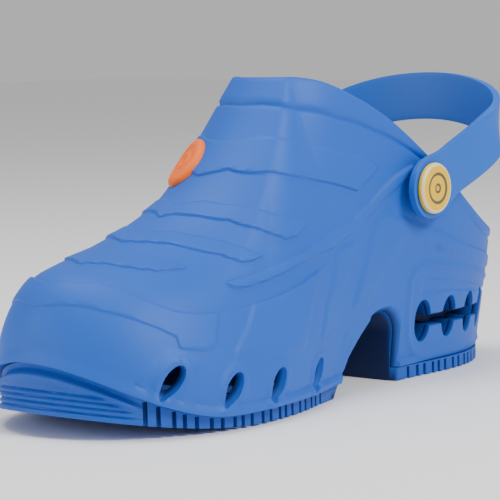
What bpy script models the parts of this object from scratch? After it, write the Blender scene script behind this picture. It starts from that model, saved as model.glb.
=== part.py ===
"""Moulded closed-toe clog with a raised heel strap, left shoe, standing empty on its sole.

Metres, +Z up, toe towards -Y, +X is the lateral side. The origin lies on the floor, under the
middle of the heel block. "Along" runs from 0 at the back of the heel to 1 at the tip of the toe,
and "turn" is the same journey measured evenly round the outline.
"""
import math

import bmesh
import bpy
import numpy as np
from mathutils import Vector
from mathutils.bvhtree import BVHTree

# Driving sizes of the last and the shell
LENGTH = 0.288
BALL_WIDTH = 0.107
INSTEP_HEIGHT = 0.140
HEEL_HEIGHT = 0.046
HEEL_CENTRE = 0.045
WALL = 0.0030
FIT_GAP = 0.0004

# Lower edge of the shell: its height above the floor, and how far the toe lifts it
BEAD_HEIGHT = 0.0062
BEAD_TOE_LIFT = 0.0235
BEAD_LIFT_START = 0.80
BEAD_LIFT_POWER = 2.2
BEAD_PROUD = 0.0012
BEAD_SHARE = 0.060
BEAD_TOP_SHARE = 0.032
BEAD_EDGE_LEFT = 0.6
TOE_SPRING = 0.0093
TOE_SPRING_START = 0.72

# How the sides round over into the vamp, and how the heel stands
SIDE_ROUND = 0.0330
TOE_ROUND = 0.0205
HEEL_ROUND = 0.0260
HEEL_LEAN = 0.106
LATERAL_FLARE = 0.0075
MEDIAL_FLARE = 0.0040
FLARE_HEIGHT = 0.050

# The middle line that the shell's lines aim at, and how the shell turns from wall to vamp
SPINE_REAR = 0.16
SPINE_FRONT = 0.42
SPINE_BUNCH = 0.16
RAY_CROWDING = 2.4
WALL_FALL = 2.2
WALL_SQUARE = 2.5
CREST_POWER = 1.8
TOE_ROUND_START = 0.75
HEEL_ROUND_END = 0.20
HEEL_LEAN_END = 0.26
FLARE_FRONT = 0.52
FLARE_FULL = 0.21
FLARE_NEAR_MIDDLE = 0.030

# Sole, tread and footbed
TREAD_INSET = 0.0014
TOE_GROOVE_HEIGHT = 0.0016
TOE_GROOVE_DEPTH = 0.0011
TOE_GROOVE_COLUMN = 27
TOE_GROOVE_SHARES = (0.26, 0.52, 0.76)
RIB_GROOVE_WIDTH = 0.0015
RIB_GROOVE_WIDE = 1.35
RIB_GROOVE_DEPTH = 0.0015
RIB_GROOVE_STOP = 0.0012
RIB_HEEL_RUN = (0.015, 0.310)
RIB_FOREFOOT_RUN = (0.548, 0.915)
CUTTER_OVER = 0.0030
CHANNEL_WIDTH = 0.0030
CHANNEL_DEPTH = 0.0020
CHANNEL_MARGIN = 0.0035
CHANNEL_ALONG = (0.10, 0.185, 0.265, 0.575, 0.67, 0.76, 0.85)
BED_CUP = 0.0022
INSOLE_THICKNESS = 0.0030
INSOLE_MARGIN = 0.0009

# Arch tunnel under the waist, as shares of LENGTH along and real heights
TUNNEL_REAR = 0.336
TUNNEL_FRONT = 0.520
TUNNEL_HEIGHT = 0.0315
TUNNEL_TOP_RADIUS = 0.0110
TUNNEL_TOP_FRONT = 0.405
TUNNEL_KNEE_HEIGHT = 0.0265
TUNNEL_SHIN_HEIGHT = 0.0135
TUNNEL_SHIN_SAG = 0.0010
TUNNEL_ARC_STEPS = 5
# How far out from the waist's edge each section of the mouth lies, and how far it is grown
TUNNEL_MOUTH = ((0.012, 0.0080), (0.000, 0.0050), (-0.002, 0.0027), (-0.007, 0.0))

# Windows of the heel block, in turn and real sizes
WINDOW_FIRST = 0.347
WINDOW_PITCH = 0.054
WINDOW_COUNT = 4
WINDOW_HALF_TURN = 0.0152
WINDOW_HEIGHT = 0.0190
WINDOW_CENTRE = 0.0250
WINDOW_DEPTH = 0.0135
WINDOW_SLOT_HEIGHT = 0.0044
WINDOW_SHARES = (1.0, 0.87, 0.50, 0.0, -0.50, -0.87, -1.0)

# Side vents
VENT_LENGTH = 0.0165
VENT_WIDTH = 0.0068
VENT_RISE = 0.0088
VENT_SLANT = math.radians(52)
VENT_REACH = 0.0050
VENT_NARROWING = 0.40
VENT_SIDES = 10

# Strap and its buttons
PIVOT_ALONG = 0.291
PIVOT_HEIGHT = 0.0873
STRAP_THICKNESS = 0.0032
STRAP_WIDTH = 0.0225
STRAP_END_WIDTH = 0.0275
STRAP_STANDOFF = 0.0028
STRAP_HALF_SPREAD = 0.0505
STRAP_LEG = 0.0430
STRAP_REACH = 0.0650
STRAP_RISE = 0.0390
STRAP_CURL = 0.38
STRAP_END_SHARES = (0.0, 0.10, 0.30, 0.60, 1.0, 1.5, 2.0)
STRAP_TAPER = 1.5
STRAP_SPAN_START = 2.2
STRAP_TANGENT_STEP = 0.0020
STRAP_LEAST_HALF = 0.0012
BUTTON_WIDTH = 0.0232
BUTTON_THICKNESS = 0.0028
BUTTON_SHANK = 0.0070
BUTTON_SHOULDER = 0.0130
BUTTON_INNER_HEAD = 0.0120
BUTTON_INNER_THICKNESS = 0.0016
HOLE_OVER = 0.0100
BUTTON_DOME = ((0.0, 1.0), (0.62, 0.96), (0.90, 0.72), (1.0, 0.30), (1.0, 0.0))

# Badge beside the ridge of the vamp, on its inner slope
BADGE_LENGTH = 0.0260
BADGE_WIDTH = 0.0190
BADGE_THICKNESS = 0.0024
BADGE_ALONG = 0.630
BADGE_ACROSS = -0.0120
BADGE_SLOPE_STEP = 0.010
BADGE_GAP = 0.0008
BADGE_DOME = ((0.0, 1.0), (0.55, 0.93), (0.85, 0.70), (1.0, 0.32))

# Fineness
COLUMNS = 32
RAY_STEPS = 120
INNER_SHARES = (1.0, 0.84, 0.66, 0.48, 0.31, 0.16, 0.0)
BED_SHARE = 0.62
FLOOR_SHARES = (0.50, 0.78)
GROOVES_A_COLUMN = 2
STRAP_STEPS = 24
STRAP_BEND_WEIGHT = 1.2
ROUND_SIDES = 16

# Half widths at the shell's lower edge, and the shift of the middle line, as shares of half BALL_WIDTH
OUTLINE_COLUMNS = ("along", "lateral", "medial", "middle")
OUTLINE = (
    (0.00, 0.000, 0.000, 0.000),
    (0.02, 0.345, 0.330, 0.000),
    (0.05, 0.480, 0.470, 0.000),
    (0.11, 0.630, 0.605, 0.000),
    (0.22, 0.700, 0.645, 0.000),
    (0.33, 0.680, 0.605, 0.005),
    (0.43, 0.698, 0.610, 0.010),
    (0.53, 0.788, 0.705, 0.006),
    (0.64, 0.962, 0.850, -0.003),
    (0.74, 1.048, 0.950, -0.020),
    (0.83, 1.035, 0.920, -0.045),
    (0.90, 0.915, 0.820, -0.070),
    (0.95, 0.722, 0.640, -0.085),
    (0.98, 0.490, 0.440, -0.095),
    (1.00, 0.000, 0.000, -0.100),
)

# Top line of the vamp and how far the surface drops from it to either side, as shares of
# INSTEP_HEIGHT. "ridge" shifts the line sideways, as a share of half BALL_WIDTH.
CREST_COLUMNS = ("along", "crest", "ridge", "lateral_drop", "medial_drop")
CREST = (
    (0.00, 1.170, 0.000, 0.030, 0.030),
    (0.30, 1.190, 0.000, 0.030, 0.035),
    (0.42, 1.155, -0.010, 0.080, 0.095),
    (0.50, 1.088, -0.015, 0.200, 0.220),
    (0.54, 0.986, -0.015, 0.236, 0.262),
    (0.58, 0.876, -0.015, 0.268, 0.288),
    (0.62, 0.776, -0.025, 0.290, 0.298),
    (0.66, 0.692, -0.050, 0.300, 0.296),
    (0.72, 0.608, -0.095, 0.300, 0.276),
    (0.78, 0.552, -0.130, 0.266, 0.236),
    (0.84, 0.512, -0.135, 0.220, 0.186),
    (0.90, 0.478, -0.125, 0.176, 0.136),
    (0.95, 0.453, -0.115, 0.126, 0.100),
    (1.00, 0.435, -0.100, 0.086, 0.070),
)

# Edge of the collar, as a share of INSTEP_HEIGHT
RIM_COLUMNS = ("along", "height")
RIM = (
    (-0.05, 0.430),
    (0.00, 0.428),
    (0.07, 0.446),
    (0.14, 0.508),
    (0.21, 0.613),
    (0.28, 0.732),
    (0.35, 0.843),
    (0.42, 0.926),
    (0.48, 0.977),
    (0.53, 0.990),
    (0.60, 0.975),
)

# Top of the footbed, as a share of HEEL_HEIGHT
BED_COLUMNS = ("along", "height")
BED = (
    (0.00, 0.960),
    (0.12, 0.935),
    (0.24, 0.930),
    (0.34, 0.925),
    (0.42, 0.860),
    (0.50, 0.680),
    (0.58, 0.450),
    (0.66, 0.310),
    (0.75, 0.260),
    (0.88, 0.310),
    (1.00, 0.560),
)

# Where the moulded steps run, as shares of the way up the shell from its lower edge to the collar.
# cap is the edge of the toe cap, ridge_low and ridge_top bound the side ridge, first to fourth are
# the lower edges of the bands across the vamp, and collar is the fold below the collar.
STEP_COLUMNS = ("turn", "cap", "ridge_low", "ridge_top", "first", "second", "third", "fourth", "collar")
STEPS = (
    (0.00, 0.24, 0.40, 0.46, 0.52, 0.58, 0.64, 0.70, 0.86),
    (0.30, 0.22, 0.44, 0.50, 0.56, 0.62, 0.68, 0.74, 0.92),
    (0.40, 0.24, 0.77, 0.82, 0.835, 0.85, 0.865, 0.88, 0.92),
    (0.48, 0.27, 0.55, 0.60, 0.612, 0.624, 0.637, 0.65, 0.87),
    (0.60, 0.335, 0.40, 0.455, 0.468, 0.482, 0.505, 0.675, 0.87),
    (0.70, 0.295, 0.345, 0.39, 0.41, 0.43, 0.53, 0.705, 0.88),
    (0.80, 0.232, 0.29, 0.34, 0.38, 0.45, 0.555, 0.72, 0.895),
    (0.90, 0.222, 0.25, 0.29, 0.335, 0.45, 0.57, 0.725, 0.89),
    (1.00, 0.18, 0.23, 0.27, 0.32, 0.43, 0.575, 0.73, 0.88),
)

# Each band across the vamp: the turn where its end fades out, and how far its lower edge stands proud
BAND_COLUMNS = ("step", "end", "proud")
BANDS = (
    ("first", 0.80, 0.0011),
    ("second", 0.69, 0.0012),
    ("third", 0.60, 0.0012),
    ("fourth", 0.49, 0.0011),
)
BAND_FADE = 0.035
BAND_FALL_PLACE = 0.62
BAND_FALL_LEFT = 0.35
BAND_RUN_SHARE = 0.30
STEP_RUN = 0.012
CAP_PROUD = 0.0008
CAP_TURNS = (0.50, 0.62)
RIDGE_PROUD = 0.0011
RIDGE_TURNS = (0.40, 0.75)
RIDGE_FADE_IN = 0.05
RIDGE_FADE_OUT = 0.02
COLLAR_PROUD = 0.0009
RIM_BEAD_PROUD = 0.0010
RIM_BEAD_END = 0.33
RIM_BEAD_FADE = 0.05

# Side vents, from the toe back
VENT_ALONG = (0.905, 0.812, 0.715, 0.602)


def clear_scene():
    for item in list(bpy.data.objects):
        bpy.data.objects.remove(item, do_unlink=True)


def column(rows, columns, name):
    return np.array([row[columns.index(name)] for row in rows])


def natural_spline(knots, values):
    """Smooth curve through the knots, with straight ends."""
    gaps = np.diff(knots)
    system = np.eye(len(knots))
    right = np.zeros(len(knots))
    for i in range(1, len(knots) - 1):
        system[i, i - 1:i + 2] = gaps[i - 1], 2 * (gaps[i - 1] + gaps[i]), gaps[i]
        right[i] = 3 * ((values[i + 1] - values[i]) / gaps[i] - (values[i] - values[i - 1]) / gaps[i - 1])
    bend = np.linalg.solve(system, right)

    def curve(place):
        place = np.clip(np.asarray(place, float), knots[0], knots[-1])
        i = np.clip(np.searchsorted(knots, place, side="right") - 1, 0, len(knots) - 2)
        step = place - knots[i]
        slope = (values[i + 1] - values[i]) / gaps[i] - gaps[i] * (2 * bend[i] + bend[i + 1]) / 3
        return values[i] + step * (slope + step * (bend[i] + step * (bend[i + 1] - bend[i]) / (3 * gaps[i])))
    return curve


def turn_of(along):
    return np.arccos(np.clip(1 - 2 * np.asarray(along, float), -1, 1)) / math.pi


def along_of(turn):
    return (1 - np.cos(np.asarray(turn, float) * math.pi)) / 2


HALF_BALL = BALL_WIDTH / 2
OUTLINE_TURNS = turn_of(column(OUTLINE, OUTLINE_COLUMNS, "along"))
lateral_half = natural_spline(OUTLINE_TURNS, HALF_BALL * column(OUTLINE, OUTLINE_COLUMNS, "lateral"))
medial_half = natural_spline(OUTLINE_TURNS, HALF_BALL * column(OUTLINE, OUTLINE_COLUMNS, "medial"))
middle_line = natural_spline(OUTLINE_TURNS, HALF_BALL * column(OUTLINE, OUTLINE_COLUMNS, "middle"))


def curve_along(rows, columns, name, scale):
    return natural_spline(column(rows, columns, "along"), scale * column(rows, columns, name))


crest_height = curve_along(CREST, CREST_COLUMNS, "crest", INSTEP_HEIGHT)
ridge_shift = curve_along(CREST, CREST_COLUMNS, "ridge", HALF_BALL)
lateral_drop = curve_along(CREST, CREST_COLUMNS, "lateral_drop", INSTEP_HEIGHT)
medial_drop = curve_along(CREST, CREST_COLUMNS, "medial_drop", INSTEP_HEIGHT)
rim_height = curve_along(RIM, RIM_COLUMNS, "height", INSTEP_HEIGHT)
bed_height = curve_along(BED, BED_COLUMNS, "height", HEEL_HEIGHT)
STEP_CURVES = {
    name: natural_spline(column(STEPS, STEP_COLUMNS, "turn"), column(STEPS, STEP_COLUMNS, name))
    for name in STEP_COLUMNS[1:]
}


def bead_height(along):
    """Height of the shell's lower edge, which rises over the toe bumper."""
    lift = np.clip((along - BEAD_LIFT_START) / (1 - BEAD_LIFT_START), 0, 1)
    return BEAD_HEIGHT + BEAD_TOE_LIFT * lift ** BEAD_LIFT_POWER


def floor_height(along):
    """Underside of the tread: flat, then lifted by the toe spring."""
    lift = np.clip((along - TOE_SPRING_START) / (1 - TOE_SPRING_START), 0, 1)
    return TOE_SPRING * lift ** 2


def to_world(across, back, up):
    """Across the shoe, back from the heel towards the toe, and up, as a world point."""
    return np.stack([across, HEEL_CENTRE - back, up], axis=-1)


def outline_turns(count):
    """Turns and sides once round the shoe: up the lateral side, back down the medial side."""
    up = np.linspace(0, 1, count + 1)
    turns = np.concatenate([up, up[::-1][1:-1]])
    sides = np.concatenate([np.ones(count + 1), -np.ones(count - 1)])
    return turns, sides


def spine_along(along):
    """Where a ray from the outline ends on the middle line: bunched behind the toe and the heel."""
    ahead = SPINE_FRONT + (along - SPINE_FRONT) * SPINE_BUNCH
    behind = SPINE_REAR + (along - SPINE_REAR) * SPINE_BUNCH
    return np.where(along > SPINE_FRONT, ahead, np.where(along < SPINE_REAR, behind, along))


def outline_points(turns, sides):
    """Plan outline of the shell's lower edge: across and back."""
    half = np.where(sides > 0, lateral_half(turns), medial_half(turns))
    half = np.where((turns < 1e-6) | (turns > 1 - 1e-6), 0, half)
    return middle_line(turns) + sides * half, along_of(turns) * LENGTH


def plan_normals(turns, sides):
    """Outward directions of the outline in plan."""
    step = 1e-3
    signed = np.where(sides > 0, turns, 2 - turns)
    before, after = (signed - step) % 2, (signed + step) % 2
    points = []
    for where in (before, after):
        side = np.where(where <= 1, 1.0, -1.0)
        points.append(np.stack(outline_points(np.where(where <= 1, where, 2 - where), side)))
    run = points[1] - points[0]
    run /= np.linalg.norm(run, axis=0)
    return run[1], -run[0]


def roof_height(across, along):
    """Height of the vamp's top surface."""
    turn = turn_of(along)
    top = ridge_shift(along)
    lateral = np.maximum(middle_line(turn) + lateral_half(turn) - top, 0.001)
    medial = np.maximum(top - middle_line(turn) + medial_half(turn), 0.001)
    share = np.where(across > top, (across - top) / lateral, (top - across) / medial)
    drop = np.where(across > top, lateral_drop(along), medial_drop(along))
    return crest_height(along) - drop * np.clip(share, 0, 1.2) ** CREST_POWER


def shell_rays(turns, sides):
    """Lines up the shell, one a turn, as arrays of across, back and up, with the rim's height."""
    base_across, base_back = outline_points(turns, sides)
    spine = spine_along(base_back / LENGTH)
    spine_across, spine_back = middle_line(turn_of(spine)), spine * LENGTH
    travel = np.linspace(0, 1, RAY_STEPS) ** RAY_CROWDING
    across = base_across[:, None] + (spine_across - base_across)[:, None] * travel
    back = base_back[:, None] + (spine_back - base_back)[:, None] * travel
    normal_across, normal_back = plan_normals(turns, sides)
    reach_across, reach_back = base_across - spine_across, base_back - spine_back
    square_reach = np.abs(reach_across * normal_across + reach_back * normal_back)
    depth = square_reach[:, None] * travel
    along = back / LENGTH
    toe = np.clip((along[:, :1] - TOE_ROUND_START) / (1 - TOE_ROUND_START), 0, 1)
    heel = np.clip((HEEL_ROUND_END - along[:, :1]) / HEEL_ROUND_END, 0, 1)
    rounding = SIDE_ROUND + (TOE_ROUND - SIDE_ROUND) * toe + (HEEL_ROUND - SIDE_ROUND) * heel
    wall = (1 - (1 - np.clip(depth / rounding, 0, 1)) ** WALL_FALL) ** (1 / WALL_SQUARE)
    low = bead_height(along[:, :1])
    up = low + (roof_height(across, along) - low) * wall
    rim = rim_height(along)
    climb = up - low
    lean = np.clip((HEEL_LEAN_END - along) / HEEL_LEAN_END, 0, 1) ** 1.5
    flare = np.where(sides > 0, LATERAL_FLARE, MEDIAL_FLARE)[:, None]
    near_edge = np.clip(np.abs(base_across[:, None]) / FLARE_NEAR_MIDDLE, 0, 1)
    rear = np.clip((FLARE_FRONT - along) / (FLARE_FRONT - FLARE_FULL), 0, 1)
    across = across + sides[:, None] * near_edge * flare * (climb / FLARE_HEIGHT - 0.5) * rear
    back = back - HEEL_LEAN * climb * lean
    return across, back, up, rim


def ray_lengths(turns, sides):
    """Rays cut at the collar, each with its distance from the lower edge."""
    across, back, up, rim = shell_rays(turns, sides)
    rays = []
    for i in range(len(turns)):
        over = up[i] >= rim[i]
        last = int(np.argmax(over)) if over.any() else RAY_STEPS - 1
        points = np.stack([across[i, :last + 1], back[i, :last + 1], up[i, :last + 1]], axis=1)
        below, above = up[i, last - 1] - rim[i, last - 1], up[i, last] - rim[i, last]
        share = below / (below - above) if over.any() else 1.0
        points[-1] = points[-2] + (points[-1] - points[-2]) * share
        runs = np.linalg.norm(np.diff(points, axis=0), axis=1)
        rays.append((points, np.concatenate([[0], np.cumsum(runs)])))
    return rays


def shell_ring(rays, shares):
    """One ring of points, each at its share of the way up its ray."""
    ring = np.zeros((len(rays), 3))
    for i, (points, travel) in enumerate(rays):
        where = shares[i] * travel[-1]
        for axis in range(3):
            ring[i, axis] = np.interp(where, travel, points[:, axis])
    return ring


def ring_normals(rings):
    """Outward normals of a stack of rings."""
    stack = np.array(rings)
    round_shoe = np.roll(stack, -1, axis=1) - np.roll(stack, 1, axis=1)
    up_shell = np.gradient(stack, axis=0)
    normals = np.cross(round_shoe, up_shell)
    normals /= np.linalg.norm(normals, axis=2, keepdims=True) + 1e-12
    widest = np.argmax(stack[0, :, 0])
    if normals[0, widest, 0] < 0:
        normals = -normals
    return normals


def fade(value, start, end):
    """Smooth 0 to 1 as value goes from start to end."""
    share = np.clip((value - start) / (end - start), 0, 1)
    return share * share * (3 - 2 * share)


def outer_ring_plan(turns):
    """Shares up the shell of each outer ring, with how far that ring stands proud."""
    low = {name: curve(turns) for name, curve in STEP_CURVES.items()}
    flat = np.zeros_like(turns)
    bead = np.full_like(turns, BEAD_PROUD)
    ridge = RIDGE_PROUD * fade(turns, RIDGE_TURNS[0], RIDGE_TURNS[0] + RIDGE_FADE_IN)
    ridge = ridge * (1 - fade(turns, RIDGE_TURNS[1] - RIDGE_FADE_OUT, RIDGE_TURNS[1]))
    cap = CAP_PROUD * fade(turns, *CAP_TURNS)
    plan = [(flat, bead * BEAD_EDGE_LEFT), (flat + BEAD_TOP_SHARE, bead), (flat + BEAD_SHARE, flat)]
    plan += [((low["cap"] + BEAD_SHARE) / 2, flat), (low["cap"] - STEP_RUN, flat), (low["cap"], cap)]
    plan += [(low["ridge_low"] - STEP_RUN, cap), (low["ridge_low"], cap + ridge)]
    plan += [(low["ridge_top"] - STEP_RUN, cap + ridge), (low["ridge_top"], cap)]
    following_steps = [row[BAND_COLUMNS.index("step")] for row in BANDS[1:]] + ["collar"]
    for (step, end, proud), following in zip(BANDS, following_steps):
        shown = fade(turns, end - BAND_FADE, end)
        run = np.minimum(STEP_RUN, (low[following] - low[step]) * BAND_RUN_SHARE)
        plan += [(low[step] - run * 0.5, cap), (low[step] + run * 0.5, cap + proud * shown)]
        if step != "first":
            middle = low[step] + (low[following] - low[step]) * BAND_FALL_PLACE
            plan.append((middle, cap + proud * BAND_FALL_LEFT * shown))
    plan += [(low["collar"] - STEP_RUN, cap), (low["collar"], cap + COLLAR_PROUD)]
    heel_bead = RIM_BEAD_PROUD * (1 - fade(turns, RIM_BEAD_END - RIM_BEAD_FADE, RIM_BEAD_END))
    plan.append(((low["collar"] + 1) / 2, cap + COLLAR_PROUD))
    plan.append((flat + 1, (cap + COLLAR_PROUD) / 2 + heel_bead))
    return plan


class Shell:
    """The clog's skins, worked out once and shared by every piece that meets them."""

    def __init__(self):
        self.turns, self.sides = outline_turns(COLUMNS)
        rays = ray_lengths(self.turns, self.sides)
        plan = outer_ring_plan(self.turns)
        bare = [shell_ring(rays, shares) for shares, _ in plan]
        normals = ring_normals(bare)
        prouds = [proud[:, None] for _, proud in plan]
        self.outer = [ring + normal * proud for ring, normal, proud in zip(bare, normals, prouds)]
        count = len(self.turns)
        skin = [shell_ring(rays, np.full(count, share)) for share in INNER_SHARES]
        normals = ring_normals(skin[::-1])[::-1]
        self.inner = [ring - normal * WALL for ring, normal in zip(skin, normals)]
        for edge, skin_edge in ((self.outer[0], bare[0]), (self.inner[-1], skin[-1])):
            edge[:, 2] = skin_edge[:, 2]
        self.normal_across, self.normal_back = plan_normals(self.turns, self.sides)

    def inner_wall(self, heights, margin):
        """Ring on the inner skin at the given heights, kept clear of it by margin."""
        stack = np.array(self.inner[::-1])
        ring = np.zeros((len(self.turns), 3))
        for i in range(len(self.turns)):
            for axis in range(3):
                ring[i, axis] = np.interp(heights[i], stack[:, i, 2], stack[:, i, axis])
        ring[:, 0] -= self.normal_across * margin
        ring[:, 1] -= self.normal_back * margin
        ring[:, 2] = heights
        return ring

    def spine_ring(self, height_of):
        along = spine_along(along_of(self.turns))
        return np.stack([middle_line(turn_of(along)), along * LENGTH, height_of(along)], axis=1)

    def ring_between(self, rim, share, height_of):
        """Ring at its share of the way from the middle line to a rim, at the height of that place."""
        spine = self.spine_ring(height_of)
        ring = spine + (rim - spine) * share
        ring[:, 2] = height_of(ring[:, 1] / LENGTH)
        return ring


def object_from(name, vertices, faces, collection):
    mesh = bpy.data.meshes.new(name)
    mesh.from_pydata([tuple(point) for point in vertices], [], faces)
    shape = bmesh.new()
    shape.from_mesh(mesh)
    bmesh.ops.remove_doubles(shape, verts=shape.verts, dist=1e-6)
    bmesh.ops.recalc_face_normals(shape, faces=shape.faces)
    shape.to_mesh(mesh)
    shape.free()
    piece = bpy.data.objects.new(name, mesh)
    collection.objects.link(piece)
    return piece


def ring_object(name, rings, collection, wrapped=False):
    """Solid from a stack of rings. A wrapped stack joins its last ring to its first. Each four-sided
    patch is split the same way, so that pieces with rings in common lie parallel."""
    count = len(rings[0])
    vertices = np.concatenate([to_world(*ring.T) for ring in rings])
    faces = []
    for level in range(len(rings) if wrapped else len(rings) - 1):
        here, above = level * count, (level + 1) % len(rings) * count
        for i in range(count):
            j = (i + 1) % count
            faces += [(here + i, here + j, above + j), (here + i, above + j, above + i)]
    return object_from(name, vertices, faces, collection)


def box_faces(start):
    """Faces of a box whose corners come as two loops of four."""
    a, b, c, d, e, f, g, h = range(start, start + 8)
    return [(a, b, c, d), (h, g, f, e), (a, e, f, b), (b, f, g, c), (c, g, h, d), (d, h, e, a)]


def cut(piece, cutter, solver="EXACT"):
    modifier = piece.modifiers.new("Cut " + cutter.name, "BOOLEAN")
    modifier.operation = "DIFFERENCE"
    modifier.solver = solver
    modifier.object = cutter


def hide_cutter(cutter):
    cutter.hide_render = True
    cutter.display_type = "WIRE"
    return cutter


def material(name, colour, roughness, coat=0.0):
    finish = bpy.data.materials.new(name)
    finish.use_nodes = True
    shader = finish.node_tree.nodes["Principled BSDF"]
    shader.inputs["Base Color"].default_value = (*colour, 1)
    shader.inputs["Roughness"].default_value = roughness
    shader.inputs["Metallic"].default_value = 0.0
    shader.inputs["Coat Weight"].default_value = coat
    return finish


def paint(piece, finish):
    piece.data.materials.clear()
    piece.data.materials.append(finish)


def wall_frame(turns, side, height, shell_depths):
    """Points on the shell's side at one height, moved along the plan normal by each depth."""
    sides = np.full(len(turns), side, float)
    across, back, up, _ = shell_rays(turns, sides)
    normal_across, normal_back = plan_normals(turns, sides)
    base = np.zeros((len(turns), 2))
    for i in range(len(turns)):
        base[i] = np.interp(height, up[i], across[i]), np.interp(height, up[i], back[i])
    return [
        np.stack([base[:, 0] + normal_across * depth, base[:, 1] + normal_back * depth], axis=1)
        for depth in shell_depths
    ]


def make_windows(side, collection):
    """Cutter for the row of oval windows and the slot that joins them."""
    stations = []
    for index in range(WINDOW_COUNT):
        centre = WINDOW_FIRST - index * WINDOW_PITCH
        for share in WINDOW_SHARES:
            half_height = WINDOW_HEIGHT / 2 * math.sqrt(max(1 - share ** 2, 0))
            stations.append((centre + share * WINDOW_HALF_TURN, half_height))
    slot = WINDOW_SLOT_HEIGHT / 2
    turns = np.array([place for place, _ in stations])
    halves = np.array([max(height, slot) for _, height in stations])
    halves[[0, -1]] = slot / 2
    outside, inside = wall_frame(turns, side, WINDOW_CENTRE, (2 * CUTTER_OVER, -WINDOW_DEPTH))
    rings = []
    for i in range(len(stations)):
        low, high = WINDOW_CENTRE - halves[i], WINDOW_CENTRE + halves[i]
        rings.append([(*outside[i], low), (*inside[i], low), (*inside[i], high), (*outside[i], high)])
    vertices = to_world(*np.array(rings).reshape(-1, 3).T)
    faces = [(0, 1, 2, 3), tuple(len(vertices) - 4 + k for k in (3, 2, 1, 0))]
    for i in range(len(rings) - 1):
        for k in range(4):
            m = (k + 1) % 4
            faces.append((i * 4 + k, i * 4 + 4 + k, i * 4 + 4 + m, i * 4 + m))
    name = "windows_lateral" if side > 0 else "windows_medial"
    return hide_cutter(object_from(name, vertices, faces, collection))


def tunnel_profile(grow):
    """Side outline of the arch tunnel, back and up, grown outwards by the flare of its mouth."""
    rear, front = TUNNEL_REAR * LENGTH - grow, TUNNEL_FRONT * LENGTH + grow
    top, radius = TUNNEL_HEIGHT + grow, TUNNEL_TOP_RADIUS
    knee, knee_up = TUNNEL_TOP_FRONT * LENGTH + grow / 2, TUNNEL_KNEE_HEIGHT + grow
    points = [(rear, -2 * CUTTER_OVER)]
    for swing in np.linspace(0, math.pi / 2, TUNNEL_ARC_STEPS + 1):
        points.append((rear + radius * (1 - math.cos(swing)), top - radius * (1 - math.sin(swing))))
    for swing in np.linspace(0, math.pi / 2, TUNNEL_ARC_STEPS + 1)[1:]:
        points.append((knee - (knee - rear - radius) * (1 - math.sin(swing)),
                       top - (top - knee_up) * (1 - math.cos(swing))))
    points.append(((knee + front) / 2 + TUNNEL_SHIN_SAG, TUNNEL_SHIN_HEIGHT + grow / 2))
    points.append((front, -2 * CUTTER_OVER))
    return points


def make_tunnel(collection):
    """Cutter for the arch tunnel: straight through, with a flared mouth on either side."""
    waist = turn_of((TUNNEL_REAR + TUNNEL_FRONT) / 2)
    lateral = float(middle_line(waist) + lateral_half(waist))
    medial = float(middle_line(waist) - medial_half(waist))
    sections = [(medial - out, grow) for out, grow in TUNNEL_MOUTH]
    sections += [(lateral + out, grow) for out, grow in TUNNEL_MOUTH[::-1]]
    rings = [[(across, back, up) for back, up in tunnel_profile(grow)] for across, grow in sections]
    count = len(rings[0])
    vertices = to_world(*np.array(rings).reshape(-1, 3).T)
    faces = [tuple(range(count)), tuple(len(vertices) - 1 - k for k in range(count))]
    for i in range(len(rings) - 1):
        for k in range(count):
            m = (k + 1) % count
            faces.append((i * count + k, (i + 1) * count + k, (i + 1) * count + m, i * count + m))
    return hide_cutter(object_from("arch_tunnel", vertices, faces, collection))


def make_vents(collection):
    """Cutter for the slanted teardrop vents, four on each side."""
    vertices, faces = [], []
    for side in (1, -1):
        for along in VENT_ALONG:
            turn = turn_of(np.array([along]))
            height = float(bead_height(along)) + VENT_RISE
            middle = wall_frame(turn, side, height, (0.0,))[0][0]
            normal = np.array([value[0] for value in plan_normals(turn, np.array([side]))])
            run = np.array([normal[1], -normal[0]]) * side
            loop = []
            for step in range(VENT_SIDES):
                angle = step / VENT_SIDES * 2 * math.pi
                length = VENT_LENGTH / 2 * math.sin(angle)
                narrow = 1 + VENT_NARROWING * min(math.sin(angle), 0)
                width = VENT_WIDTH / 2 * math.cos(angle) * narrow
                loop.append((length * math.cos(VENT_SLANT) + width * math.sin(VENT_SLANT),
                             length * math.sin(VENT_SLANT) - width * math.cos(VENT_SLANT)))
            start = len(vertices)
            for depth in (VENT_REACH, -VENT_REACH):
                for forward, rise in loop:
                    place = middle + normal * depth + run * forward
                    vertices.append((place[0], place[1], height + rise))
            far = start + VENT_SIDES
            faces += [tuple(range(start, far)), tuple(range(far + VENT_SIDES - 1, far - 1, -1))]
            for k in range(VENT_SIDES):
                m = (k + 1) % VENT_SIDES
                faces.append((start + k, far + k, far + m, start + m))
    return hide_cutter(object_from("vents", to_world(*np.array(vertices).T), faces, collection))


def groove_turns(first, last):
    """Turns of the grooves from one place along to another, all clear of the columns' own lines."""
    fine = COLUMNS * GROOVES_A_COLUMN
    start, end = (turn_of(np.array([first, last])) * fine).astype(int)
    return (np.arange(start, end) + 0.5) / fine


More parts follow.
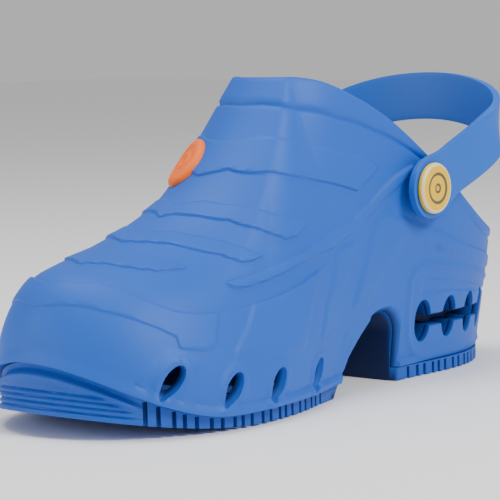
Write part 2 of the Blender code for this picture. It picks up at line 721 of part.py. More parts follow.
def make_rib_grooves(collection):
    """Cutter for the upright grooves that part the ribs of the tread's side."""
    vertices, faces = [], []
    inner = -TREAD_INSET - RIB_GROOVE_DEPTH
    corners = ((CUTTER_OVER, -1), (inner, -1), (inner, 1), (CUTTER_OVER, 1))
    for side in (1, -1):
        for first, last in (RIB_HEEL_RUN, RIB_FOREFOOT_RUN):
            turns = groove_turns(first, last)
            sides = np.full(len(turns), side, float)
            across, back = outline_points(turns, sides)
            normal_across, normal_back = plan_normals(turns, sides)
            for i, along in enumerate(along_of(turns)):
                width = RIB_GROOVE_WIDTH * (1.0 if i % 3 else RIB_GROOVE_WIDE)
                normal = np.array([normal_across[i], normal_back[i]])
                run = np.array([normal[1], -normal[0]]) * width / 2
                middle = np.array([across[i], back[i]])
                low = float(floor_height(along)) - CUTTER_OVER
                top = float(bead_height(along)) - RIB_GROOVE_STOP
                faces += box_faces(len(vertices))
                for up in (low, top):
                    for depth, sign in corners:
                        vertices.append((*(middle + normal * depth + run * sign), up))
    return hide_cutter(object_from("rib_grooves", to_world(*np.array(vertices).T), faces, collection))


def make_toe_grooves(collection):
    """Cutter for the level grooves that part the stacked ribs of the toe bumper."""
    vertices, faces = [], []
    signed = (np.arange(TOE_GROOVE_COLUMN, 2 * COLUMNS - TOE_GROOVE_COLUMN) + 0.5) / COLUMNS
    sides = np.where(signed <= 1, 1.0, -1.0)
    turns = np.where(signed <= 1, signed, 2 - signed)
    across, back = outline_points(turns, sides)
    normal_across, normal_back = plan_normals(turns, sides)
    floor, bead = floor_height(along_of(turns)), bead_height(along_of(turns))
    inner = -TREAD_INSET - TOE_GROOVE_DEPTH
    for share in TOE_GROOVE_SHARES:
        middle = floor + (bead - floor) * share
        start = len(vertices)
        for i in range(len(turns)):
            for depth, rise in ((CUTTER_OVER, -0.5), (inner, -0.5), (inner, 0.5), (CUTTER_OVER, 0.5)):
                vertices.append((across[i] + normal_across[i] * depth, back[i] + normal_back[i] * depth,
                                 middle[i] + TOE_GROOVE_HEIGHT * rise))
        end = len(vertices)
        faces += [tuple(range(start, start + 4)), tuple(range(end - 1, end - 5, -1))]
        for i in range(len(turns) - 1):
            here = start + i * 4
            faces += [(here + k, here + 4 + k, here + 4 + (k + 1) % 4, here + (k + 1) % 4) for k in range(4)]
    return hide_cutter(object_from("toe_grooves", to_world(*np.array(vertices).T), faces, collection))


def make_channels(collection):
    """Cutter for the channels that part the lugs under the tread. They stop short of its edge."""
    vertices, faces = [], []
    for along in CHANNEL_ALONG:
        turn = turn_of(along)
        reach = TREAD_INSET + RIB_GROOVE_DEPTH + CHANNEL_MARGIN
        lateral = float(middle_line(turn) + lateral_half(turn)) - reach
        medial = float(middle_line(turn) - medial_half(turn)) + reach
        rear, front = along * LENGTH - CHANNEL_WIDTH / 2, along * LENGTH + CHANNEL_WIDTH / 2
        faces += box_faces(len(vertices))
        for up in (-CUTTER_OVER, float(floor_height(along)) + CHANNEL_DEPTH):
            vertices += [(medial, rear, up), (lateral, rear, up), (lateral, front, up), (medial, front, up)]
    return hide_cutter(object_from("tread_channels", to_world(*np.array(vertices).T), faces, collection))


def make_sole(shell, collection):
    """Tread, bumper, plug and footbed in one moulded solid."""
    turns = shell.turns
    along = along_of(turns)
    across, back = outline_points(turns, shell.sides)

    def edge(inset, heights):
        inward_across, inward_back = shell.normal_across * inset, shell.normal_back * inset
        return np.stack([across - inward_across, back - inward_back, heights], axis=1)

    ledge = bead_height(along) - FIT_GAP
    rim = edge(TREAD_INSET, floor_height(along))
    rings = [shell.spine_ring(floor_height)]
    rings += [shell.ring_between(rim, share, floor_height) for share in FLOOR_SHARES]
    rings += [rim, edge(TREAD_INSET, ledge)]
    rings.append(shell.inner_wall(ledge, FIT_GAP))
    bed_edge = bed_height(along) + BED_CUP
    rings.append(shell.inner_wall((ledge + bed_edge) / 2, FIT_GAP))
    rim = shell.inner_wall(bed_edge, FIT_GAP)
    rings.append(rim)
    rings.append(bed_ring(shell, rim))
    rings.append(shell.spine_ring(bed_height))
    return ring_object("sole", rings, collection)


def bed_ring(shell, rim):
    """Ring over the cupped footbed, between its edge and the middle line."""
    return shell.ring_between(rim, BED_SHARE, bed_height) + np.array([0.0, 0.0, BED_CUP * BED_SHARE ** 3])


def make_insole(shell, collection):
    """Removable liner that lies on the footbed and stops short of the shell."""
    rim = shell.inner_wall(bed_height(along_of(shell.turns)) + BED_CUP, FIT_GAP)
    wide, spine = bed_ring(shell, rim), shell.spine_ring(bed_height)
    reach = np.linalg.norm(rim - wide, axis=1, keepdims=True)
    edge = wide + (rim - wide) * (1 - INSOLE_MARGIN / reach)
    under = np.array([0.0, 0.0, FIT_GAP])
    over = np.array([0.0, 0.0, FIT_GAP + INSOLE_THICKNESS])
    rings = [spine + over, wide + over, edge + over, edge + under, wide + under, spine + under]
    return ring_object("insole", rings, collection)


def wall_reaches(shell_tree, side, radius, from_inside):
    """Distances of one side's wall from the middle plane, met at points round the strap's pivot."""
    reaches = []
    for angle in np.linspace(0, 2 * math.pi, 9)[:-1]:
        back, up = PIVOT_ALONG * LENGTH + radius * math.cos(angle), PIVOT_HEIGHT + radius * math.sin(angle)
        start = to_world(0.0 if from_inside else side * BALL_WIDTH, back, up)
        hit = shell_tree.ray_cast(Vector(start), Vector((side if from_inside else -side, 0, 0)))[0]
        if hit is not None:
            reaches.append(abs(hit.x))
    return reaches


def strap_path(lateral_start, medial_start, steps=12):
    """Middle line of the strap: a leg along each side and an oval sweep behind the heel."""
    pivot_back = PIVOT_ALONG * LENGTH
    points = []
    for start, side in ((lateral_start, 1), (medial_start, -1)):
        half = []
        for reach in np.linspace(0, STRAP_LEG, steps + 1)[:-1]:
            ease = float(fade(reach, STRAP_END_WIDTH / 2, STRAP_LEG))
            half.append((start + (side * STRAP_HALF_SPREAD - start) * ease, reach))
        for angle in np.linspace(0, math.pi / 2, steps):
            sweep = STRAP_REACH - STRAP_LEG
            half.append((side * STRAP_HALF_SPREAD * math.cos(angle), STRAP_LEG + sweep * math.sin(angle)))
        points += half if side > 0 else half[::-1][1:]
    path = []
    for across, reach in points:
        share = reach / STRAP_REACH
        rise = STRAP_RISE * share * (1 - STRAP_CURL + STRAP_CURL * share)
        path.append((across, pivot_back - reach, PIVOT_HEIGHT + rise))
    return np.array(path)


def make_strap(lateral_start, medial_start, collection):
    """Flat band with rounded ends, drawn as an open sheet and given its thickness by Solidify."""
    path = strap_path(lateral_start, medial_start)
    travel = np.concatenate([[0], np.cumsum(np.linalg.norm(np.diff(path, axis=0), axis=1))])
    total, radius = travel[-1], STRAP_END_WIDTH / 2
    headings = np.unwrap(np.arctan2(*np.gradient(path[:, :2], travel, axis=0).T))
    bend = np.concatenate([[0], np.cumsum(np.abs(np.diff(headings)))])
    progress = travel / total + STRAP_BEND_WEIGHT * bend / bend[-1]
    clear_of_end = radius * STRAP_SPAN_START
    first, last = np.interp((clear_of_end, total - clear_of_end), travel, progress)
    span = np.interp(np.linspace(first, last, STRAP_STEPS), progress, travel)
    front = radius * (np.array(STRAP_END_SHARES) - 1)
    places = np.concatenate([front, span, total - front[::-1]])
    rows = []

    def on_path(place):
        return np.array([np.interp(place, travel, path[:, axis]) for axis in range(3)])

    for place in places:
        clear = min(place, total - place)
        inside = min(max(clear, 0), total / 2)
        near = np.clip(place, STRAP_TANGENT_STEP, total - STRAP_TANGENT_STEP)
        tangent = on_path(near + STRAP_TANGENT_STEP) - on_path(near - STRAP_TANGENT_STEP)
        tangent /= np.linalg.norm(tangent)
        held = np.clip(place, 0, total)
        centre = on_path(held) + tangent * (place - held)
        outward = np.array([-tangent[1], tangent[0], 0.0])
        outward /= np.linalg.norm(outward)
        width_way = np.cross(outward, tangent)
        width_way *= np.sign(width_way[2])
        narrowed = fade(inside, 0.0, radius * STRAP_TAPER)
        half_width = radius + (STRAP_WIDTH / 2 - radius) * narrowed
        if clear < 0:
            half_width = math.sqrt(max(radius ** 2 - clear ** 2, 0))
        half_width = max(half_width, STRAP_LEAST_HALF)
        rows.append([centre + width_way * half_width * share for share in (-1, -0.5, 0, 0.5, 1)])
    vertices = to_world(*np.array(rows).reshape(-1, 3).T)
    faces = [
        (i * 5 + k, (i + 1) * 5 + k, (i + 1) * 5 + k + 1, i * 5 + k + 1)
        for i in range(len(rows) - 1) for k in range(4)
    ]
    strap = object_from("heel_strap", vertices, faces, collection)
    thickness = strap.modifiers.new("Thickness", "SOLIDIFY")
    thickness.thickness = STRAP_THICKNESS
    thickness.offset = 0.0
    thickness.use_even_offset = True
    return strap


def make_bar(name, radius, start, end, height_back, collection):
    """Plain round cutter along X."""
    back, up = height_back
    bpy.ops.mesh.primitive_cylinder_add(vertices=ROUND_SIDES, radius=radius, depth=abs(end - start))
    bar = bpy.context.object
    bar.name = name
    for parent in list(bar.users_collection):
        parent.objects.unlink(bar)
    collection.objects.link(bar)
    place = to_world(np.array((start + end) / 2), np.array(back), np.array(up))
    turned = [Vector((v.co.z, v.co.y, -v.co.x)) + Vector(place) for v in bar.data.vertices]
    for vertex, point in zip(bar.data.vertices, turned):
        vertex.co = point
    return hide_cutter(bar)


def make_button(name, side, strap_middle, wall_inside, wall_outside, collection):
    """Turned rivet: outer disc, shank, shoulder between strap and shell, and inner head."""
    outer_face = abs(strap_middle) + STRAP_THICKNESS / 2
    inner_face = abs(strap_middle) - STRAP_THICKNESS / 2
    head = outer_face + FIT_GAP
    shoulder_out, shoulder_in = inner_face - FIT_GAP, abs(wall_outside) + FIT_GAP
    inner_head = abs(wall_inside) - FIT_GAP
    disc, shank = BUTTON_WIDTH / 2, BUTTON_SHANK / 2
    shoulder, stop = BUTTON_SHOULDER / 2, BUTTON_INNER_HEAD / 2
    inner_end = inner_head - BUTTON_INNER_THICKNESS
    profile = [(disc * share, head + BUTTON_THICKNESS * dome) for share, dome in BUTTON_DOME]
    profile += [(shank, head), (shank, shoulder_out), (shoulder, shoulder_out), (shoulder, shoulder_in)]
    profile += [(shank, shoulder_in), (shank, inner_head)]
    profile += [(stop, inner_head), (stop, inner_end), (0, inner_end)]
    vertices, faces = [], []
    place = to_world(0.0, PIVOT_ALONG * LENGTH, PIVOT_HEIGHT)
    for radius, depth in profile:
        for step in range(ROUND_SIDES):
            angle = step / ROUND_SIDES * 2 * math.pi
            back, up = radius * math.cos(angle), radius * math.sin(angle)
            vertices.append((side * depth, place[1] + back, place[2] + up))
    for i in range(len(profile) - 1):
        here, beyond = i * ROUND_SIDES, (i + 1) * ROUND_SIDES
        for k in range(ROUND_SIDES):
            m = (k + 1) % ROUND_SIDES
            faces.append((here + k, here + m, beyond + m, beyond + k))
    return object_from(name, vertices, faces, collection)


def make_badge(upper_tree, collection):
    """Domed oval on the inner slope of the vamp, with its back shaped to the shell."""
    across = float(ridge_shift(BADGE_ALONG)) + BADGE_ACROSS

    def on_roof(aside, ahead):
        along = BADGE_ALONG + ahead / LENGTH
        return Vector(to_world(across + aside, along * LENGTH, float(roof_height(across + aside, along))))

    centre = on_roof(0.0, 0.0)
    length_way = (on_roof(0.0, BADGE_SLOPE_STEP) - centre).normalized()
    out = (on_roof(BADGE_SLOPE_STEP, 0.0) - centre).cross(length_way).normalized()
    out = -out if out.z < 0 else out
    width_way = length_way.cross(out)
    segments = ROUND_SIDES
    top, under = [], []
    for share, dome in BADGE_DOME:
        for step in range(segments):
            angle = step / segments * 2 * math.pi
            place = centre + length_way * (BADGE_LENGTH / 2 * share * math.cos(angle))
            place += width_way * (BADGE_WIDTH / 2 * share * math.sin(angle))
            hit = upper_tree.ray_cast(place + out * BADGE_LENGTH, -out)[0]
            under.append(hit + out * BADGE_GAP)
            top.append(hit + out * (BADGE_GAP + BADGE_THICKNESS * dome))
    vertices, faces = top + under, []
    offset = len(top)
    for i in range(len(BADGE_DOME) - 1):
        for k in range(segments):
            m = (k + 1) % segments
            a, b, c, d = i * segments + k, i * segments + m, (i + 1) * segments + m, (i + 1) * segments + k
            faces += [(a, b, c, d), (offset + d, offset + c, offset + b, offset + a)]
    last = (len(BADGE_DOME) - 1) * segments
    for k in range(segments):
        m = (k + 1) % segments
        faces.append((last + k, last + m, offset + last + m, offset + last + k))
    return object_from("vamp_badge", vertices, faces, collection)


def build():
    clear_scene()
    parts = bpy.data.collections.new("clog")
    cutters = bpy.data.collections.new("cutters")
    for collection in (parts, cutters):
        bpy.context.scene.collection.children.link(collection)

    body_blue = material("body blue", (0.075, 0.215, 0.545), 0.55)
    sole_blue = material("sole blue", (0.065, 0.195, 0.510), 0.60)
    strap_blue = material("strap blue", (0.070, 0.210, 0.550), 0.50)
    liner_blue = material("liner blue", (0.045, 0.100, 0.280), 0.85)
    yellow = material("button yellow", (0.780, 0.570, 0.120), 0.40, 0.2)
    orange = material("badge orange", (0.870, 0.230, 0.070), 0.42, 0.2)

    shell = Shell()
    upper = ring_object("upper", shell.outer + shell.inner, parts, wrapped=True)
    skin = bmesh.new()
    skin.from_mesh(upper.data)
    tree = BVHTree.FromBMesh(skin)

    pivot_back = PIVOT_ALONG * LENGTH
    starts, walls = {}, {}
    for side in (1, -1):
        outside = max(wall_reaches(tree, side, STRAP_END_WIDTH / 2, False))
        boss = max(wall_reaches(tree, side, BUTTON_SHOULDER / 2, False))
        inside = min(wall_reaches(tree, side, BUTTON_SHOULDER / 2, True))
        starts[side] = side * (max(outside + FIT_GAP, boss + STRAP_STANDOFF) + STRAP_THICKNESS / 2)
        walls[side] = (side * inside, side * boss)

    sole = make_sole(shell, parts)
    insole = make_insole(shell, parts)
    strap = make_strap(starts[1], starts[-1], parts)
    for side, name in ((1, "lateral"), (-1, "medial")):
        button = make_button("strap_button_" + name, side, starts[side], *walls[side], parts)
        paint(button, yellow)
        hole_start, hole_end = walls[side][0] - side * HOLE_OVER, starts[side] + side * HOLE_OVER
        hole = make_bar("strap_hole_" + name, BUTTON_SHANK / 2 + FIT_GAP, hole_start, hole_end,
                        (pivot_back, PIVOT_HEIGHT), cutters)
        cut(upper, hole)
        cut(strap, hole)
    badge = make_badge(tree, parts)
    skin.free()

    tunnel = make_tunnel(cutters)
    for side in (1, -1):
        windows = make_windows(side, cutters)
        cut(upper, windows, "MANIFOLD")
        cut(sole, windows, "MANIFOLD")
    cut(upper, tunnel)
    cut(sole, tunnel)
    cut(upper, make_vents(cutters))
    cut(sole, make_rib_grooves(cutters))
    cut(sole, make_toe_grooves(cutters))
    cut(sole, make_channels(cutters))

    for piece, finish in ((upper, body_blue), (sole, sole_blue), (insole, liner_blue),
                          (strap, strap_blue), (badge, orange)):
        paint(piece, finish)


build()
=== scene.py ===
"""Looks of the moulded clog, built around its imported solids.

The shell, the sole and the strap are drawn again from the same sizes as the solids, finely enough
to carry the moulded relief that the photo shows. Lengths are in metres unless a table says
millimetres. "Back" runs from the heel to the toe, "turn" goes evenly from 0 at the heel to 1 at the
toe, and "climb" is the share of the way up the shell from its lower edge to the collar.
"""
import math

import bmesh
import bpy
import numpy as np
from mathutils import Matrix, Vector
from mathutils.bvhtree import BVHTree


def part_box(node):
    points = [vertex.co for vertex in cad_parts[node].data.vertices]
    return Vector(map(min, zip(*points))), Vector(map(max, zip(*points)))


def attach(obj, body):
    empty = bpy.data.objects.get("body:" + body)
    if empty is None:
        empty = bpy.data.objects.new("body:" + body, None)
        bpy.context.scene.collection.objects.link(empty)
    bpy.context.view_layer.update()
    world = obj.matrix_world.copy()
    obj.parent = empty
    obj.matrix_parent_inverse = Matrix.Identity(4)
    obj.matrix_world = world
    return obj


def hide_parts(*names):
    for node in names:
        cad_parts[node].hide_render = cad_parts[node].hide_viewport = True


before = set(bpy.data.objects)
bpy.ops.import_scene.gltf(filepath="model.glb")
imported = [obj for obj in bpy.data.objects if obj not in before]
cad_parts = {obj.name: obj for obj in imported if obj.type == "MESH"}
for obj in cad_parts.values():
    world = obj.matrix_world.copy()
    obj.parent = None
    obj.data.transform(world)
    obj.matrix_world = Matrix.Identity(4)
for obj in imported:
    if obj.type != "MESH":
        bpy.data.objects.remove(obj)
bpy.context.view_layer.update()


# Upper, part 1: the surface of the last.
# The upper is one moulded shell of soft foamed plastic. Its outer face follows the last, drawn from the
# solids' own tables, as shares of a named size, with rays that climb from the lower edge to the middle.
MM = 0.001
LENGTH = 0.288
HALF_BALL = 0.107 / 2
INSTEP_HEIGHT = 0.140
HEEL_HEIGHT = 0.046
HEEL_CENTRE = 0.045
WALL = 0.0030
FIT_GAP = 0.0004
OUTLINE = np.array((
    # along, lateral, medial, middle
    (0.00, 0.000, 0.000, 0.000),
    (0.02, 0.345, 0.330, 0.000),
    (0.05, 0.480, 0.470, 0.000),
    (0.11, 0.630, 0.605, 0.000),
    (0.22, 0.700, 0.645, 0.000),
    (0.33, 0.680, 0.605, 0.005),
    (0.43, 0.698, 0.610, 0.010),
    (0.53, 0.788, 0.705, 0.006),
    (0.64, 0.962, 0.850, -0.003),
    (0.74, 1.048, 0.950, -0.020),
    (0.83, 1.035, 0.920, -0.045),
    (0.90, 0.915, 0.820, -0.070),
    (0.95, 0.722, 0.640, -0.085),
    (0.98, 0.490, 0.440, -0.095),
    (1.00, 0.000, 0.000, -0.100),
))
CREST = np.array((
    # along, crest, ridge, lateral drop, medial drop
    (0.00, 1.170, 0.000, 0.030, 0.030),
    (0.30, 1.190, 0.000, 0.030, 0.035),
    (0.42, 1.155, -0.010, 0.080, 0.095),
    (0.50, 1.088, -0.015, 0.200, 0.220),
    (0.54, 0.986, -0.015, 0.236, 0.262),
    (0.58, 0.876, -0.015, 0.268, 0.288),
    (0.62, 0.776, -0.025, 0.290, 0.298),
    (0.66, 0.692, -0.050, 0.300, 0.296),
    (0.72, 0.608, -0.095, 0.300, 0.276),
    (0.78, 0.552, -0.130, 0.266, 0.236),
    (0.84, 0.512, -0.135, 0.220, 0.186),
    (0.90, 0.478, -0.125, 0.176, 0.136),
    (0.95, 0.453, -0.115, 0.126, 0.100),
    (1.00, 0.435, -0.100, 0.086, 0.070),
))
RIM = np.array((
    # along, height
    (-0.05, 0.430),
    (0.00, 0.428),
    (0.07, 0.446),
    (0.14, 0.508),
    (0.21, 0.613),
    (0.28, 0.732),
    (0.35, 0.843),
    (0.42, 0.926),
    (0.48, 0.977),
    (0.53, 0.990),
    (0.60, 0.975),
))
BED = np.array((
    # along, height
    (0.00, 0.960),
    (0.12, 0.935),
    (0.24, 0.930),
    (0.34, 0.925),
    (0.42, 0.860),
    (0.50, 0.680),
    (0.58, 0.450),
    (0.66, 0.310),
    (0.75, 0.260),
    (0.88, 0.310),
    (1.00, 0.560),
))
BEAD_HEIGHT = 0.0062
BEAD_TOE_LIFT = 0.0235
BEAD_LIFT_START = 0.80
TOE_SPRING = 0.0093
TOE_SPRING_START = 0.72
BEAD_LIFT_POWER = 2.2
# How the sides round over into the vamp, and how the heel stands
SIDE_ROUND = 0.0330
TOE_ROUND = 0.0205
HEEL_ROUND = 0.0260
HEEL_LEAN = 0.106
LATERAL_FLARE = 0.0075
MEDIAL_FLARE = 0.0040
FLARE_HEIGHT = 0.050
# The middle line that the rays aim at, and how the shell turns from wall to vamp
SPINE_REAR = 0.16
SPINE_FRONT = 0.42
SPINE_BUNCH = 0.16
RAY_CROWDING = 2.4
WALL_FALL = 2.2
WALL_SQUARE = 2.5
CREST_POWER = 1.8
TOE_ROUND_START = 0.75
HEEL_ROUND_END = 0.20
HEEL_LEAN_END = 0.26
FLARE_FRONT = 0.52
FLARE_FULL = 0.21
FLARE_NEAR_MIDDLE = 0.030
RIDGE_ROUND = 0.42
RAY_STEPS = 180
COLUMNS = 640
ROWS = 138
INNER_ROWS = 11
RIM_ROWS = 4


def natural_spline(knots, values):
    """Smooth curve through the knots, with straight ends."""
    gaps = np.diff(knots)
    system = np.eye(len(knots))
    right = np.zeros(len(knots))
    for i in range(1, len(knots) - 1):
        system[i, i - 1:i + 2] = gaps[i - 1], 2 * (gaps[i - 1] + gaps[i]), gaps[i]
        right[i] = 3 * ((values[i + 1] - values[i]) / gaps[i] - (values[i] - values[i - 1]) / gaps[i - 1])
    bend = np.linalg.solve(system, right)

    def curve(place):
        place = np.clip(np.asarray(place, float), knots[0], knots[-1])
        i = np.clip(np.searchsorted(knots, place, side="right") - 1, 0, len(knots) - 2)
        step = place - knots[i]
        slope = (values[i + 1] - values[i]) / gaps[i] - gaps[i] * (2 * bend[i] + bend[i + 1]) / 3
        return values[i] + step * (slope + step * (bend[i] + step * (bend[i + 1] - bend[i]) / (3 * gaps[i])))
    return curve


def turn_of(along):
    return np.arccos(np.clip(1 - 2 * np.asarray(along, float), -1, 1)) / math.pi


def along_of(turn):
    return (1 - np.cos(np.asarray(turn, float) * math.pi)) / 2


lateral_half, medial_half, middle_line = [
    natural_spline(turn_of(OUTLINE[:, 0]), HALF_BALL * OUTLINE[:, column]) for column in (1, 2, 3)]
crest_height, lateral_drop, medial_drop = [
    natural_spline(CREST[:, 0], INSTEP_HEIGHT * CREST[:, column]) for column in (1, 3, 4)]
ridge_shift = natural_spline(CREST[:, 0], HALF_BALL * CREST[:, 2])
rim_height = natural_spline(RIM[:, 0], INSTEP_HEIGHT * RIM[:, 1])
bed_height = natural_spline(BED[:, 0], HEEL_HEIGHT * BED[:, 1])


def bead_height(along):
    lift = np.clip((along - BEAD_LIFT_START) / (1 - BEAD_LIFT_START), 0, 1)
    return BEAD_HEIGHT + BEAD_TOE_LIFT * lift ** BEAD_LIFT_POWER


def floor_height(along):
    lift = np.clip((along - TOE_SPRING_START) / (1 - TOE_SPRING_START), 0, 1)
    return TOE_SPRING * lift ** 2


def to_world(places):
    """Across, back and up as world coordinates."""
    return np.stack([places[..., 0], HEEL_CENTRE - places[..., 1], places[..., 2]], axis=-1)


def outline_points(turns, sides):
    half = np.where(sides > 0, lateral_half(turns), medial_half(turns))
    half = np.where((turns < 1e-6) | (turns > 1 - 1e-6), 0, half)
    return middle_line(turns) + sides * half, along_of(turns) * LENGTH


def once_round(count):
    """Turns and sides once round the shoe, evenly spaced: up the lateral side, down the medial side."""
    fine = np.linspace(0, 1, 2001)
    across, back = outline_points(fine, np.ones(2001))
    travel = np.concatenate([[0], np.cumsum(np.hypot(np.diff(across), np.diff(back)))])
    up = np.interp(np.linspace(0, travel[-1], count // 2 + 1), travel, fine)
    turns = np.concatenate([up, up[::-1][1:-1]])
    sides = np.concatenate([np.ones(count // 2 + 1), -np.ones(count // 2 - 1)])
    return turns, sides


def plan_normals(turns, sides):
    signed = np.where(sides > 0, turns, 2 - turns)
    ends = []
    for where in ((signed - 1e-3) % 2, (signed + 1e-3) % 2):
        side = np.where(where <= 1, 1.0, -1.0)
        ends.append(np.stack(outline_points(np.where(where <= 1, where, 2 - where), side)))
    run = ends[1] - ends[0]
    run /= np.linalg.norm(run, axis=0)
    return run[1], -run[0]


def spine_along(along):
    """Where a ray from the outline ends on the middle line: bunched behind the toe and the heel."""
    ahead = SPINE_FRONT + (along - SPINE_FRONT) * SPINE_BUNCH
    behind = SPINE_REAR + (along - SPINE_REAR) * SPINE_BUNCH
    return np.where(along > SPINE_FRONT, ahead, np.where(along < SPINE_REAR, behind, along))


def roof_height(across, along):
    """Height of the vamp's top surface, with its ridge rounded."""
    turn, top = turn_of(along), ridge_shift(along)
    lateral = np.maximum(middle_line(turn) + lateral_half(turn) - top, 0.001)
    medial = np.maximum(top - middle_line(turn) + medial_half(turn), 0.001)
    share = np.where(across > top, (across - top) / lateral, (top - across) / medial)
    drop = np.where(across > top, lateral_drop(along), medial_drop(along))
    share = np.clip(share, 0, 1.2)
    least = RIDGE_ROUND ** CREST_POWER
    rounded = (share ** 2 + RIDGE_ROUND ** 2) ** (CREST_POWER / 2) - least
    return crest_height(along) - drop * rounded / ((1 + RIDGE_ROUND ** 2) ** (CREST_POWER / 2) - least)


def shell_rays(turns, sides):
    """Lines up the shell, one a turn, from the lower edge to the collar: places and lengths."""
    base_across, base_back = outline_points(turns, sides)
    spine = spine_along(base_back / LENGTH)
    spine_across, spine_back = middle_line(turn_of(spine)), spine * LENGTH
    travel = np.linspace(0, 1, RAY_STEPS) ** RAY_CROWDING
    across = base_across[:, None] + (spine_across - base_across)[:, None] * travel
    back = base_back[:, None] + (spine_back - base_back)[:, None] * travel
    normal_across, normal_back = plan_normals(turns, sides)
    square_reach = (base_across - spine_across) * normal_across + (base_back - spine_back) * normal_back
    depth = np.abs(square_reach)[:, None] * travel
    along = back / LENGTH
    toe = np.clip((along[:, :1] - TOE_ROUND_START) / (1 - TOE_ROUND_START), 0, 1)
    heel = np.clip((HEEL_ROUND_END - along[:, :1]) / HEEL_ROUND_END, 0, 1)
    rounding = SIDE_ROUND + (TOE_ROUND - SIDE_ROUND) * toe + (HEEL_ROUND - SIDE_ROUND) * heel
    wall = (1 - (1 - np.clip(depth / rounding, 0, 1)) ** WALL_FALL) ** (1 / WALL_SQUARE)
    low = bead_height(along[:, :1])
    up = low + (roof_height(across, along) - low) * wall
    rim = rim_height(along)
    climb = up - low
    flare = np.where(sides > 0, LATERAL_FLARE, MEDIAL_FLARE)[:, None]
    near_edge = np.clip(np.abs(base_across[:, None]) / FLARE_NEAR_MIDDLE, 0, 1)
    rear = np.clip((FLARE_FRONT - along) / (FLARE_FRONT - FLARE_FULL), 0, 1)
    across = across + sides[:, None] * near_edge * flare * (climb / FLARE_HEIGHT - 0.5) * rear
    back = back - HEEL_LEAN * climb * np.clip((HEEL_LEAN_END - along) / HEEL_LEAN_END, 0, 1) ** 1.5
    rays = []
    for i in range(len(turns)):
        over = up[i] >= rim[i]
        last = int(np.argmax(over)) if over.any() else RAY_STEPS - 1
        places = np.stack([across[i, :last + 1], back[i, :last + 1], up[i, :last + 1]], axis=1)
        below, above = up[i, last - 1] - rim[i, last - 1], up[i, last] - rim[i, last]
        share = below / (below - above) if over.any() else 1.0
        places[-1] = places[-2] + (places[-1] - places[-2]) * share
        run = np.linalg.norm(np.diff(places, axis=0), axis=1)
        rays.append((places, np.concatenate([[0], np.cumsum(run)])))
    return rays


def grid_on(rays, climbs):
    """Places on the rays at each share of the climb: rows by columns by three."""
    climbs = np.broadcast_to(climbs[:, None] if climbs.ndim == 1 else climbs, (len(climbs), len(rays)))
    grid = np.zeros((*climbs.shape, 3))
    for i, (places, travel) in enumerate(rays):
        for axis in range(3):
            grid[:, i, axis] = np.interp(climbs[:, i] * travel[-1], travel, places[:, axis])
    return grid


def grid_normals(grid):
    round_shoe = np.roll(grid, -1, axis=1) - np.roll(grid, 1, axis=1)
    normals = np.cross(round_shoe, np.gradient(grid, axis=0))
    normals /= np.linalg.norm(normals, axis=2, keepdims=True) + 1e-12
    if normals[0, np.argmax(grid[0, :, 0]), 0] < 0:
        normals = -normals
    return normals


turns, sides = once_round(COLUMNS)
rays = shell_rays(turns, sides)
ray_reach = np.array([travel[-1] for _, travel in rays])


# Upper, part 2: the moulded relief.
# The mould gives the shell low bands, panels, frames and lips. Strips are bounded by two curves over the
# turn, and panels by corners in the side view. Each adds a height above the plain skin.
STRIPS = {
    # name: (height in mm, edge in mm, share of the height left at the top), lower curve, upper curve
    "first band": ((1.0, 0.8, 0.0),
                   ((1.00, 0.280), (0.967, 0.297), (0.912, 0.313), (0.871, 0.333), (0.825, 0.383)),
                   ((1.00, 0.375), (0.900, 0.395), (0.860, 0.400), (0.825, 0.385))),
    "second band": ((1.1, 0.8, 0.35),
                    ((1.00, 0.420), (0.975, 0.427), (0.896, 0.453), (0.825, 0.453), (0.779, 0.450),
                     (0.725, 0.423), (0.700, 0.427), (0.675, 0.441)),
                    ((1.00, 0.480), (0.925, 0.507), (0.850, 0.510), (0.783, 0.503), (0.729, 0.477),
                     (0.675, 0.442))),
    "third band": ((1.1, 0.8, 0.40),
                   ((1.00, 0.550), (0.967, 0.567), (0.879, 0.573), (0.783, 0.567), (0.696, 0.523),
                    (0.621, 0.480), (0.596, 0.487), (0.562, 0.523)),
                   ((1.00, 0.610), (0.896, 0.633), (0.767, 0.620), (0.704, 0.590), (0.646, 0.563),
                    (0.588, 0.540), (0.562, 0.524))),
    "fourth band": ((1.1, 0.8, 0.45),
                    ((1.00, 0.710), (0.850, 0.730), (0.658, 0.690), (0.542, 0.663), (0.462, 0.650),
                     (0.442, 0.707), (0.425, 0.777)),
                    ((1.00, 0.820), (0.738, 0.823), (0.571, 0.790), (0.483, 0.777), (0.433, 0.790),
                     (0.425, 0.778))),
    "side ridge": ((1.3, 1.4, 0.9),
                   ((0.752, 0.352), (0.733, 0.340), (0.704, 0.347), (0.642, 0.370), (0.575, 0.403),
                    (0.512, 0.440), (0.471, 0.503), (0.438, 0.593), (0.400, 0.730), (0.372, 0.860)),
                   ((0.752, 0.354), (0.745, 0.366), (0.725, 0.379), (0.667, 0.405), (0.596, 0.432),
                    (0.525, 0.482), (0.471, 0.557), (0.442, 0.632), (0.400, 0.795), (0.372, 0.905))),
    "toe panel": ((0.6, 0.8, 1.0),
                  ((1.00, 0.120), (0.979, 0.127), (0.938, 0.143), (0.900, 0.153), (0.862, 0.163),
                   (0.829, 0.167), (0.802, 0.163), (0.796, 0.140), (0.758, 0.150), (0.745, 0.175)),
                  ((1.00, 0.180), (0.958, 0.197), (0.925, 0.217), (0.896, 0.223), (0.854, 0.223),
                   (0.812, 0.227), (0.779, 0.243), (0.750, 0.262), (0.745, 0.180))),
}
CAP_LINE = ((1.00, 0.180), (0.958, 0.197), (0.925, 0.217), (0.896, 0.223), (0.854, 0.223), (0.812, 0.227),
            (0.779, 0.243), (0.742, 0.270), (0.696, 0.297), (0.642, 0.313), (0.583, 0.343), (0.545, 0.376),
            (0.520, 0.400), (0.000, 0.400))
